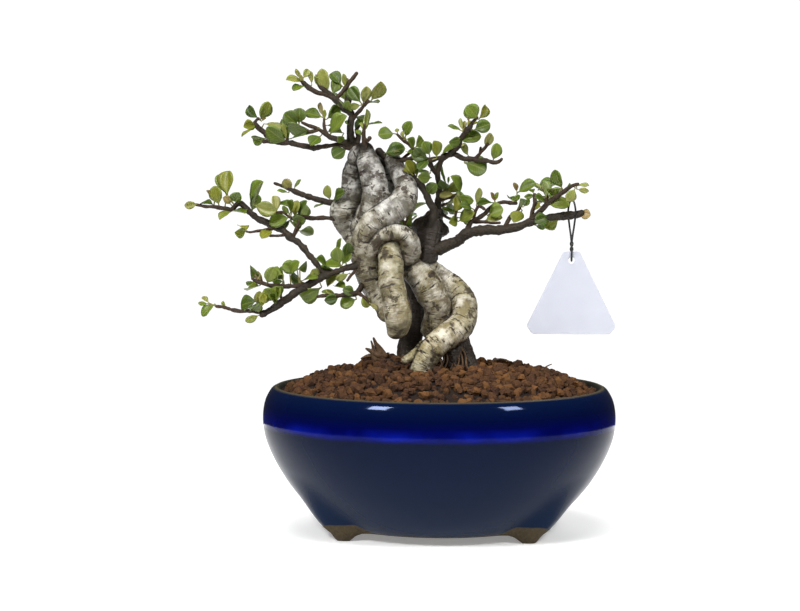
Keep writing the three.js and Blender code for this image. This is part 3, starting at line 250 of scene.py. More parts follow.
hazy = add(tree, "ShaderNodeMapRange", {0: share, 1: 0.738, 2: 0.733, 3: 0.07, 4: 0.22})
dull = add(tree, "ShaderNodeMath", {0: inside, 1: 0.35, 2: hazy}, operation="MULTIPLY_ADD")
rough = add(tree, "ShaderNodeMix", {0: glazed, 2: 0.8, 3: dull})
bump = add(tree, "ShaderNodeBump", {"Height": cloud, "Strength": 0.1, "Distance": 0.0004})
shader = add(tree, "ShaderNodeBsdfPrincipled", {
    "Base Color": colour, "Roughness": rough, "Normal": bump, "Specular IOR Level": 0.15,
    "Specular Tint": linear("#b9cdff"),
})
add(tree, "ShaderNodeOutputMaterial", {"Surface": shader})

pot = mesh_piece("pot_shell", points, faces, glaze)
give(pot.data, "glaze_edge", glaze_edge / 1000)
give(pot.data, "inner", inner)
give(pot.data, "rim", rim)
for x in (-drain_x, drain_x):
    drill_rings = [[[x + drain_radius * math.cos(t), drain_radius * math.sin(t), z]
                    for t in np.radians(np.arange(0, 360, 7.5))] for z in (0, drill_top)]
    drill = mesh_piece("drill", *loft(drill_rings, [x, 0, 0], [x, 0, drill_top]))
    cut = pot.modifiers.new("drain hole", "BOOLEAN")
    cut.object = drill
    cut.operation = "DIFFERENCE"
    settle(pot)
    bpy.data.objects.remove(drill)
keep(pot, "glaze", "pot")


# The drain nets: squares of moulded black plastic that lie over the drain holes under the soil.
# They stay as the frame has them, with a matte moulded finish.

net, tree = new_material("moulded black plastic net")
place = add(tree, "ShaderNodeTexCoord").outputs["Object"]
# Moulded plastic is an even, dull black with the faint grain of its mould
ribs = add(tree, "ShaderNodeTexNoise", {"Vector": place, "Scale": 1000 / 0.8, "Detail": 3.0})
tone = add(tree, "ShaderNodeMix", {0: ribs, 6: linear("#14161a"), 7: linear("#2a2d33")},
           data_type="RGBA")
bump = add(tree, "ShaderNodeBump", {"Height": ribs, "Strength": 0.2, "Distance": 0.0001})
shader = add(tree, "ShaderNodeBsdfPrincipled", {
    "Base Color": tone, "Roughness": 0.6, "Normal": bump,
})
add(tree, "ShaderNodeOutputMaterial", {"Surface": shader})
for name in ("drain_mesh_left", "drain_mesh_right"):
    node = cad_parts[name]
    node.data.materials.clear()
    node.data.materials.append(net)


# The soil: fired clay grains of 3 to 6 mm, heaped to a low mound with a hump at the trunk's left.
# The bed under them is one solid that fills the pot, and the grains lie on it two or three deep.

soil_edge, mound_rise, hump_rise, hump_x, hump_y, hump_spread = 81, 15.5, 5.6, -29, 6, 10
mound_reach, mound_fall = 90, 4.2
bed_reach, bed_depth, bed_gap = 90.6, 2.6, 0.5
grain_reach = 88.5


def soil_height(x, y):
    """Height of the mound at a point."""
    out = np.minimum(1, np.hypot(x, y / depth_ratio) / mound_reach)
    hump = np.exp(-((x - hump_x) ** 2 + (y - hump_y) ** 2) / (2 * hump_spread ** 2))
    return soil_edge + mound_rise * (1 - out ** mound_fall) + hump_rise * hump


def new_tree(name, inputs):
    """A Geometry Nodes tree with a mesh going in and out, and its sizes as named inputs."""
    group = bpy.data.node_groups.new(name, "GeometryNodeTree")
    group.interface.new_socket("Mesh", in_out="INPUT", socket_type="NodeSocketGeometry")
    for label, kind in inputs.items():
        group.interface.new_socket(label, in_out="INPUT", socket_type="NodeSocket" + kind)
    group.interface.new_socket("Mesh", in_out="OUTPUT", socket_type="NodeSocketGeometry")
    return group, group.nodes.new("NodeGroupInput").outputs


def grow(piece, group, values):
    """Runs a tree on a piece with values for its named inputs, and keeps the plain mesh."""
    modifier = piece.modifiers.new(group.name, "NODES")
    modifier.node_group = group
    for item in group.interface.items_tree:
        if item.in_out == "INPUT" and item.name in values:
            modifier[item.identifier] = values[item.name]
    settle(piece)


def frames_along(stations):
    """Centres, radii and directions at the stations [x, y, z, radius] of a limb."""
    centres, radii = stations[:, :3], stations[:, 3]
    ahead = np.gradient(centres, axis=0)
    ahead /= np.linalg.norm(ahead, axis=1)[:, None]
    side = np.array([0.36, 0.93, 0.08])
    sides = []
    for along in ahead:
        side = side - along * (side @ along)
        side /= np.linalg.norm(side)
        sides.append(side)
    return centres, radii, ahead, np.array(sides), np.cross(ahead, sides)


def tube(stations, sides):
    """Points and faces of a round limb with domed ends."""
    centres, radii, ahead, side, other = frames_along(stations)
    dome = [(-0.95, 0.31), (-0.75, 0.66), (-0.4, 0.92)]
    spots = [(0, shift, width) for shift, width in dome]
    spots += [(i, 0, 1) for i in range(len(centres))]
    spots += [(-1, -shift, width) for shift, width in reversed(dome)]
    turn = np.arange(sides)[:, None] * 2 * math.pi / sides
    rings = [
        centres[i] + shift * radii[i] * ahead[i]
        + width * radii[i] * (np.cos(turn) * side[i] + np.sin(turn) * other[i])
        for i, shift, width in spots
    ]
    return loft(rings, centres[0] - radii[0] * ahead[0], centres[-1] + radii[-1] * ahead[-1])


def gather(solids):
    """Points and faces of several solids as one list each."""
    points, faces, count = [], [], 0
    for corners, sheets in solids:
        points.append(corners)
        faces += [tuple(corner + count for corner in sheet) for sheet in sheets]
        count += len(corners)
    return np.vstack(points), faces


earth, tree = new_material("damp brown earth")
place = add(tree, "ShaderNodeTexCoord").outputs["Object"]
# The bed is nearly black: partly the earth's own dark brown, partly painted shade in the gaps
# between the grains. The scraps in it are paler
crumbs = add(tree, "ShaderNodeTexNoise", {"Vector": place, "Scale": 1000 / 2, "Detail": 8.0})
brown = add(tree, "ShaderNodeMix", {0: crumbs, 6: linear("#0a0503"), 7: linear("#24150c")},
            data_type="RGBA")
rotten = add(tree, "ShaderNodeMix", {0: crumbs, 6: linear("#150c06"), 7: linear("#7d6044")},
             data_type="RGBA")
scrap = add(tree, "ShaderNodeAttribute", attribute_name="scrap").outputs["Fac"]
earthy = add(tree, "ShaderNodeMix", {0: scrap, 6: brown, 7: rotten}, data_type="RGBA")
bump = add(tree, "ShaderNodeBump", {"Height": crumbs, "Strength": 0.8, "Distance": 0.001})
shader = add(tree, "ShaderNodeBsdfPrincipled", {
    "Base Color": earthy, "Roughness": 0.95, "Normal": bump,
})
add(tree, "ShaderNodeOutputMaterial", {"Surface": shader})

fired, tree = new_material("fired clay grain")
place = add(tree, "ShaderNodeTexCoord").outputs["Object"]
each = add(tree, "ShaderNodeAttribute", attribute_name="tone").outputs["Fac"]
# Low-fired clay is matte and dusty, each grain with its own shade from the firing
shades = add(tree, "ShaderNodeValToRGB", {"Fac": each})
fill_ramp(shades, (0, "#2e170a"), (0.6, "#442911"), (1, "#5f3d1b"))
dust = add(tree, "ShaderNodeTexNoise", {"Vector": place, "Scale": 1000 / 0.9, "Detail": 6.0})
dusty = add(tree, "ShaderNodeMapRange", {0: dust, 1: 0.45, 2: 0.75, 3: 0.0, 4: 0.35})
brown = add(tree, "ShaderNodeMix", {0: dusty, 6: shades, 7: linear("#6e4e28")}, data_type="RGBA")
bump = add(tree, "ShaderNodeBump", {"Height": dust, "Strength": 0.5, "Distance": 0.0003})
shader = add(tree, "ShaderNodeBsdfPrincipled", {
    "Base Color": brown, "Roughness": 0.9, "Normal": bump,
})
add(tree, "ShaderNodeOutputMaterial", {"Surface": shader})

grains, source = new_tree("clay grains", {
    "Spacing": "Float", "Smallest": "Float", "Largest": "Float", "Lumps": "Float", "Seed": "Int",
})
on_top = add(grains, "GeometryNodeInputNamedAttribute", {"Name": "top"}, data_type="FLOAT")
scatter = add(grains, "GeometryNodeDistributePointsOnFaces", {
    "Mesh": source["Mesh"], "Distance Min": source["Spacing"], "Density Max": 250000.0,
    "Density Factor": on_top, "Seed": source["Seed"],
}, distribute_method="POISSON")
heap = add(grains, "FunctionNodeRandomValue", {2: -0.7, 3: 0.6, "Seed": 3}, data_type="FLOAT")
rise = add(grains, "ShaderNodeMath", {0: heap, 1: source["Largest"]}, operation="MULTIPLY")
lift = add(grains, "ShaderNodeCombineXYZ", {"Z": rise})
heaped = add(grains, "GeometryNodeSetPosition", {"Geometry": scatter, "Offset": lift})
radius = add(grains, "FunctionNodeRandomValue", {2: source["Smallest"], 3: source["Largest"],
                                                 "Seed": source["Seed"]}, data_type="FLOAT")
stretch = add(grains, "FunctionNodeRandomValue", {0: (0.8, 0.8, 0.7), 1: (1.25, 1.15, 1.0),
                                                  "Seed": 7}, data_type="FLOAT_VECTOR")
scale = add(grains, "ShaderNodeVectorMath", {0: stretch, "Scale": radius}, operation="SCALE")
turn = add(grains, "FunctionNodeRandomValue", {0: (0.0, 0.0, 0.0), 1: (6.3, 6.3, 6.3), "Seed": 11},
           data_type="FLOAT_VECTOR")
ball = add(grains, "GeometryNodeMeshIcoSphere", {"Radius": 1.0, "Subdivisions": 2})
placed = add(grains, "GeometryNodeInstanceOnPoints", {
    "Points": heaped, "Instance": ball, "Rotation": turn, "Scale": scale,
})
shade = add(grains, "FunctionNodeRandomValue", {"Seed": 23}, data_type="FLOAT")
toned = add(grains, "GeometryNodeStoreNamedAttribute", {
    "Geometry": placed, "Name": "tone", "Value": shade,
}, data_type="FLOAT", domain="INSTANCE")
real = add(grains, "GeometryNodeRealizeInstances", {"Geometry": toned})
lumps = add(grains, "ShaderNodeTexNoise", {"Scale": 1000 / 2.2, "Detail": 2.5})
centred = add(grains, "ShaderNodeVectorMath", {0: lumps.outputs["Color"], 1: (0.5, 0.5, 0.5)},
              operation="SUBTRACT")
offset = add(grains, "ShaderNodeVectorMath", {0: centred, "Scale": source["Lumps"]},
             operation="SCALE")
worn = add(grains, "GeometryNodeSetPosition", {"Geometry": real, "Offset": offset})
fine = add(grains, "GeometryNodeSetShadeSmooth", {"Geometry": worn, "Shade Smooth": False})
clothed = add(grains, "GeometryNodeSetMaterial", {"Geometry": fine, "Material": fired})
both = add(grains, "GeometryNodeJoinGeometry", {"Geometry": source["Mesh"]})
grains.links.new(clothed.outputs["Geometry"], both.inputs["Geometry"])
add(grains, "NodeGroupOutput", {"Mesh": both})

soil_sides = 120
bed_wall = [[half - bed_gap, max(z, floor_top + bed_gap)] for half, z in pot_inside[1:]]
wall_rings = [oval(half, z, soil_sides) for half, z in smooth_run(bed_wall, 5)[::-1]]
top_rings = []
for half in np.linspace(bed_reach, 3, 31):
    ring = oval(half, 0, soil_sides)
    ring[:, 2] = soil_height(ring[:, 0], ring[:, 1]) - bed_depth
    top_rings.append(ring)
points, faces = loft(wall_rings + top_rings, [0, 0, floor_top + bed_gap],
                     [0, 0, soil_height(0, 0) - bed_depth])
is_top = np.arange(len(points)) > 1 + len(wall_rings) * soil_sides
is_top &= np.hypot(points[:, 0], points[:, 1] / depth_ratio) < grain_reach

# Scraps of dead wood that lie on the hump, hair roots at the trunk's right foot and litter at the
# right, each as points [x, y, z, radius]
scraps = [
    [[-34.5, 6, 100, 2.4], [-35.3, 6, 103, 2], [-36.7, 6, 106.8, 1.4], [-38.4, 6, 111, 0.7]],
    [[-32, 6, 101, 1.8], [-34.4, 6, 105, 1.3], [-36, 6, 107.6, 0.6]],
    [[-38.5, 5, 101, 1.5], [-38.7, 5, 106, 0.9], [-39.8, 5, 109.4, 0.5]],
    [[-35, 4, 100.4, 1.7], [-41, 4, 101, 1.3], [-45.3, 3, 99.4, 0.6]],
    [[-36, 3, 101.4, 1.9], [-40.5, 3, 104.2, 1.2], [-42.6, 3, 105.2, 0.6]],
    [[-37, 4, 99.5, 2.8], [-38.2, 4, 102.4, 2], [-38.4, 4, 104, 1.1]],
    [[1.5, -13, 108, 0.7], [3.5, -15.6, 101.5, 0.6], [1.5, -17, 96, 0.4]],
    [[4.5, -14, 107, 0.8], [5.6, -16.2, 101, 0.6], [4, -18, 96, 0.4]],
    [[6, -14, 106, 0.7], [8.8, -16, 101, 0.5], [7.6, -18, 96, 0.4]],
    [[8, -13.5, 107, 0.8], [8, -16, 102, 0.6], [11, -18, 96.5, 0.4]],
    [[10, -14, 106, 0.8], [12.3, -16.4, 101, 0.6], [11, -18.5, 96.5, 0.4]],
    [[12, -13.5, 106.5, 0.7], [14, -16, 102.5, 0.6], [14.6, -18, 96.5, 0.4]],
    [[13, -13, 108, 0.8], [16, -15, 103.5, 0.6], [16.4, -16.8, 98, 0.5], [18, -18, 96, 0.3]],
    [[0, -21, 104, 0.5], [2.4, -22, 100, 0.5], [1, -23, 96.5, 0.3]],
    [[30, 10, 97, 1], [36, 10, 98.6, 0.9], [41, 10, 97.4, 0.6]],
    [[60, 2, 93.5, 0.6], [63, 1, 96, 0.4], [65.5, 0, 97.2, 0.25]],
]
litter, scrap_faces = gather([tube(smooth_run(path, 1.5), 7) for path in scraps])
faces += [tuple(corner + len(points) for corner in face) for face in scrap_faces]
is_top = np.concatenate([is_top, np.zeros(len(litter), bool)])
points = np.vstack([points, litter])
soil = mesh_piece("soil_bed", points, faces, earth)
give(soil.data, "top", is_top.astype(float))
give(soil.data, "scrap", np.arange(len(points)) >= len(points) - len(litter))
grow(soil, grains, {"Spacing": 0.0031, "Smallest": 0.0018, "Largest": 0.0034, "Lumps": 0.0042,
                    "Seed": 5})
keep(soil, "soil", "soil")


# The trunk: strands that were wound round each other when young and have grown together, with
# burrs where branches were cut. The bark is smooth and pale, with short dark lines across it.

strand_sides, voxel = 28, 0.0008
crease_width, merged_below = 1.7, 167
marks_apart = 60

# Each strand as points [x, y, z, radius], in millimetres from the foot of the pot's axis
strands = {
    "finger": [[-43, -0.5, 220.5, 5.6], [-41, -3, 214, 6.6], [-38, -5, 206, 7.3],
        [-35.7, -7, 196.5, 7.6], [-38.5, -7, 189.5, 7], [-41.5, -5, 183.5, 5.6],
        [-46, -2, 177, 5]],
    "arch_top": [[-43, -0.5, 220.5, 5.6], [-46.8, -0.6, 219, 5], [-49.2, 0, 216.6, 4.2]],
    "back_left": [[-49.5, 5, 213, 4.4], [-51.5, 6.5, 208, 5.2], [-51.8, 7.5, 203.5, 5.4],
        [-51, 8, 198, 6.8], [-53, 9, 191.5, 6.9], [-55, 9, 185.5, 9.1], [-54, 8, 179, 8.4],
        [-51.5, 7, 172.5, 5.6], [-46.5, 3, 164, 5]],
    "core": [[-40, 9, 214, 6.4], [-37, 11, 203.5, 8.2], [-37, 8, 189, 9], [-44, 3, 176, 8]],
    "rear": [[-29, 8, 215, 4.6], [-28, 9, 204, 5.8], [-30, 7, 192, 6.4], [-34, 3, 182, 6]],
    "big_bend": [[-27.5, 3, 215.5, 4.8], [-25, 1, 211, 5], [-22.5, -2, 206, 5.6],
        [-19.5, -5, 201.5, 6.4], [-18.5, -8, 196.5, 7.2], [-19.5, -11, 191, 7.6],
        [-24.5, -13, 187, 7.6], [-31, -14, 183, 7.3], [-37.5, -14, 178.5, 7.3],
        [-42, -12, 171.5, 7.4], [-43.5, -9, 162.5, 7.6], [-42.5, -8, 155.5, 7.4],
        [-40, -6, 147.5, 7], [-36.5, -6, 139.5, 6.6], [-32, -12, 133.5, 6], [-29, -20, 128, 5.5]],
    "arch": [[-39.5, -6, 145, 5.6], [-40, -8, 154, 6.6], [-39.6, -10, 162.5, 6.6],
        [-36, -13, 169, 5.8], [-28, -16, 173.5, 5], [-20, -16, 173, 5.2], [-16, -14.5, 168, 6.1],
        [-16, -12, 164, 6.3], [-18.5, -8, 156, 5.4]],
    "front_finger": [[-27, -13, 165.5, 5.4], [-27, -17, 160, 6.9], [-26.5, -21, 152.5, 7.4],
        [-25.5, -24, 143.5, 7.7], [-23, -27, 134.5, 7.9], [-22, -28, 125.5, 8],
        [-22, -27, 119.5, 6.2]],
    "middle": [[-20.5, -4, 157, 6.4], [-13.5, -7, 151, 7.2], [-8, -8, 146, 8.4],
        [-4, -8, 139, 8.8], [-1, -7, 132, 8.4], [-1, -5, 124, 7.6], [-4, -3, 117, 6.5]],
    "right_loop": [[-9, 4, 152, 7], [-1, 5, 147.5, 7], [8, 3, 142, 7], [13.2, 0, 136, 7.4],
        [15.2, -5, 129.5, 7.8], [14, -10, 122, 8], [8, -15, 116, 8.1], [1, -19, 111, 7.8],
        [-5, -21, 105, 7.5], [-9, -22, 99, 6.6], [-10, -23, 91, 5.8], [-10, -23, 83, 5.6]],
    "root_stub": [[-8, -19, 109.5, 3.4], [-12, -22, 106, 3], [-16, -25, 103, 2.7],
        [-18, -26, 101.5, 2.4]],
    "back_root": [[-15, 6, 158, 6.4], [-15.5, 9, 142, 6], [-14, 10, 127, 6.2], [-16, 9, 113, 6.6],
        [-17.5, 8, 104, 7.4], [-18.5, 8, 84, 8]],
    "right_root": [[11.5, -8, 115, 5.6], [14, -7, 104, 6.4], [17, -8, 98, 6], [22, -8, 91, 4.6],
        [27, -8, 83, 3.4]],
    "front_root": [[10, -10, 111, 6.2], [9, -11, 97, 6.2], [9, -13, 84, 5.4]],
    "branch_neck": [[-8, 4, 153, 6], [-7.5, 5, 160, 6.2], [-6.5, 5, 167.5, 6.6],
        [-5.5, 6, 174, 7.6], [-4.5, 7, 179.5, 6.8], [-2, 8, 183, 4.6]],
}
# Balls [x, y, z, radius]
burrs = [[-55, 7, 186, 9.1], [-19.5, -9, 193.5, 7.9], [-15.5, -12, 165, 6.8], [-8, 6, 158, 6.6],
         [-9.5, 8, 176, 6.2], [1, 9, 175, 4.6]]
# Strands drawn dark: the roots and the branch's neck have dark bark, and the back root, which lies
# behind the others, is also made near black as painted shade
dark_strands = ("back_root", "right_root", "front_root", "branch_neck")


def noise_at(points, size):
    """Smooth noise from about -1 to 1 with lumps of the given size."""
    return np.array([noise.noise(spot) for spot in (points / size).tolist()])


runs = {name: smooth_run(path, 2) for name, path in strands.items()}
for run in runs.values():
    run[:, 3] *= 1 + 0.07 * noise_at(run[:, :3], 12)
limbs = [tube(run, strand_sides) for run in runs.values()]
limbs += [tube(np.array([[x, y, z - 0.1, r], [x, y, z + 0.1, r]]), strand_sides)
          for x, y, z, r in burrs]
trunk = mesh_piece("trunk_wood", *gather(limbs))
remesh = trunk.modifiers.new("one skin", "REMESH")
remesh.mode = "VOXEL"
remesh.voxel_size = voxel
ease = trunk.modifiers.new("ease", "SMOOTH")
ease.factor = 0.5
ease.iterations = 2
settle(trunk)

skin = np.zeros(len(trunk.data.vertices) * 3, np.float32)
normals = np.zeros_like(skin)
trunk.data.vertices.foreach_get("co", skin)
trunk.data.vertices.foreach_get("normal", normals)
skin = skin.reshape(-1, 3) * 1000 - pot_axis
normals = normals.reshape(-1, 3)
# How far each point of the skin is from each strand, and where it lies along and round it. Each
# strand starts further on in the bark's pattern, so that no two bear the same marks.
gaps, grain_places = [], []
for number, run in enumerate(runs.values()):
    centres, radii, ahead, side, other = frames_along(run)
    steps = np.linalg.norm(np.diff(centres, axis=0), axis=1)
    travelled = np.concatenate([[0], np.cumsum(steps)]) + marks_apart * number
    away = skin[:, None] - centres
    distance = np.linalg.norm(away, axis=2) - radii
    near = distance.argmin(axis=1)
    away = away[np.arange(len(skin)), near]
    gaps.append(distance.min(axis=1))
    grain_places.append(np.stack([
        travelled[near] + (away * ahead[near]).sum(axis=1),
        (away * side[near]).sum(axis=1), (away * other[near]).sum(axis=1)], axis=1))
gaps = np.array(gaps)
order = np.argsort(gaps, axis=0)
rows = np.arange(len(skin))
closest = order[0]
bark_place = np.array(grain_places)[closest, rows]
crease = 1 - np.clip((gaps[order[1], rows] - gaps[closest, rows]) / crease_width, 0, 1)
# The arch and the big bend have become one below their crossing, and no crease parts them there
pair = [list(runs).index(name) for name in ("arch", "big_bend")]
crease[np.isin(order[:2], pair).all(axis=0) & (skin[:, 2] < merged_below)] = 0
is_dark = np.array([name in dark_strands for name in runs])[closest].astype(float)

# Growth swells the strands unevenly and wrinkles the bark across them
across = bark_place * [1 / 2.1, 1 / 6.5, 1 / 6.5]
swelling = 1.0 * noise_at(skin, 10) + 0.32 * noise_at(skin, 3.6) + 0.14 * noise_at(skin, 1.7)
wrinkle = 0.34 * np.abs(noise_at(across, 1)) ** 0.7
fibre = 0.8 * noise_at(bark_place * [1 / 9, 1 / 1.6, 1 / 1.6], 1) * is_dark
skin += normals * (swelling - wrinkle + fibre - 0.5 * crease)[:, None]
trunk.data.vertices.foreach_set("co", ((skin + pot_axis) / 1000).ravel())
give(trunk.data, "bark_place", bark_place, "FLOAT_VECTOR")
give(trunk.data, "crease", crease)
give(trunk.data, "old", is_dark)
trunk.data.shade_smooth()

bark, tree = new_material("smooth pale bark")
place = add(tree, "ShaderNodeTexCoord").outputs["Object"]
along = add(tree, "ShaderNodeAttribute", attribute_name="bark_place").outputs["Vector"]
# Thin cork over live wood: silvery on top, stained with algae below, split across the strands
height = add(tree, "ShaderNodeSeparateXYZ", {0: place}).outputs["Z"]
raised = add(tree, "ShaderNodeMapRange", {0: height, 1: 0.09, 2: 0.22})
tint = add(tree, "ShaderNodeValToRGB", {"Fac": raised})
fill_ramp(tint, (0, "#fdf0cc"), (0.14, "#c9b78d"), (0.35, "#988a6d"), (0.6, "#9a9482"),
          (0.75, "#9c9a94"), (0.9, "#464648"), (1, "#434345"))
clouds = add(tree, "ShaderNodeTexNoise", {"Vector": place, "Scale": 1000 / 7, "Detail": 6.0,
                                          "Roughness": 0.62})
cloudy = add(tree, "ShaderNodeMapRange", {0: clouds, 1: 0.42, 2: 0.6})
dim = add(tree, "ShaderNodeMix", {0: 0.62, 6: tint, 7: linear("#40392d")}, data_type="RGBA")
worn = add(tree, "ShaderNodeMix", {0: 0.5, 6: tint, 7: linear("#efece4")}, data_type="RGBA")
skins = add(tree, "ShaderNodeMix", {0: cloudy, 6: dim, 7: worn}, data_type="RGBA")
stain = add(tree, "ShaderNodeTexNoise", {"Vector": place, "Scale": 1000 / 16, "Detail": 6.0,
                                         "Roughness": 0.65})
low = add(tree, "ShaderNodeMapRange", {0: height, 1: 0.205, 2: 0.16, 3: 0.05, 4: 0.6})
spots = add(tree, "ShaderNodeMapRange", {0: stain, 1: 0.38, 2: 0.56})
algae = add(tree, "ShaderNodeMath", {0: low, 1: spots}, operation="MULTIPLY")
stained = add(tree, "ShaderNodeMix", {0: algae, 6: skins, 7: linear("#877d4c")}, data_type="RGBA")
line_space = add(tree, "ShaderNodeMapping", {"Vector": along, "Scale": (1 / 0.7, 1 / 8, 1 / 8)})
lines = add(tree, "ShaderNodeTexNoise", {"Vector": line_space, "Scale": 1.0, "Detail": 4.0})
fine = add(tree, "ShaderNodeMapRange", {0: lines, 1: 0.52, 2: 0.74, 3: 0.0, 4: 0.45})
lined = add(tree, "ShaderNodeMix", {0: fine, 6: stained, 7: linear("#5b503c")}, data_type="RGBA")
ring_space = add(tree, "ShaderNodeMapping", {"Vector": along, "Scale": (1 / 2.1, 1 / 10, 1 / 10)})
marks = add(tree, "ShaderNodeTexNoise", {"Vector": ring_space, "Scale": 1.0, "Detail": 3.0,
                                         "Roughness": 0.62})
dashes = add(tree, "ShaderNodeMapRange", {0: marks, 1: 0.585, 2: 0.635})
dashed = add(tree, "ShaderNodeMix", {0: dashes, 6: lined, 7: linear("#2b2117")}, data_type="RGBA")
scabs = add(tree, "ShaderNodeTexNoise", {"Vector": place, "Scale": 1000 / 8, "Detail": 7.0,
                                         "Roughness": 0.7})
scabby = add(tree, "ShaderNodeMapRange", {0: scabs, 1: 0.55, 2: 0.59, 3: 0.0, 4: 0.9})
scabbed = add(tree, "ShaderNodeMix", {0: scabby, 6: dashed, 7: linear("#34281c")},
              data_type="RGBA")
# The strands are darker on their undersides: painted shade
facing = add(tree, "ShaderNodeNewGeometry").outputs["Normal"]
tilt = add(tree, "ShaderNodeSeparateXYZ", {0: facing}).outputs["Z"]
painted_underside_shade = add(tree, "ShaderNodeMapRange", {0: tilt, 1: 0.1, 2: -0.85, 3: 0.0, 4: 0.8})
shady = add(tree, "ShaderNodeMix", {0: painted_underside_shade, 6: scabbed, 7: linear("#3f3322")}, data_type="RGBA")
# The creases between the strands are darkened towards near black: painted shade
fold = add(tree, "ShaderNodeAttribute", attribute_name="crease").outputs["Fac"]
ragged = add(tree, "ShaderNodeMath", {0: scabs, 1: 0.9, 2: -0.45}, operation="MULTIPLY_ADD")
seam = add(tree, "ShaderNodeMath", {0: fold, 1: ragged})
folded = add(tree, "ShaderNodeMapRange", {0: seam, 1: 0.4, 2: 0.92, 3: 0.0, 4: 0.88})
shaded = add(tree, "ShaderNodeMix", {0: folded, 6: shady, 7: linear("#1e1710")}, data_type="RGBA")
# Dark strands: partly their own dark bark, partly painted shade on the back root
old = add(tree, "ShaderNodeAttribute", attribute_name="old").outputs["Fac"]
rugged = add(tree, "ShaderNodeMix", {0: scabs, 6: linear("#0f0c0a"), 7: linear("#4b4036")},
             data_type="RGBA")
colour = add(tree, "ShaderNodeMix", {0: old, 6: shaded, 7: rugged}, data_type="RGBA")
grooves = add(tree, "ShaderNodeMath", {0: marks, 1: lines})
relief = add(tree, "ShaderNodeMath", {0: grooves, 1: scabs})
bump = add(tree, "ShaderNodeBump", {"Height": relief, "Strength": 0.9, "Distance": 0.0012},
           invert=True)
sheen = add(tree, "ShaderNodeMapRange", {0: scabs, 1: 0.35, 2: 0.65, 3: 0.24, 4: 0.55})
shader = add(tree, "ShaderNodeBsdfPrincipled", {
    "Base Color": colour, "Roughness": sheen, "Normal": bump,
})
add(tree, "ShaderNodeOutputMaterial", {"Surface": shader})
trunk.data.materials.clear()
trunk.data.materials.append(bark)
keep(trunk, "bark", "trunk")


# The leafy branches: dark twigs, each with leaves in small bunches along it and at its tip. The
# leaves are 9 to 12 mm long, oval, folded a little along the midrib, and young ones are smaller.

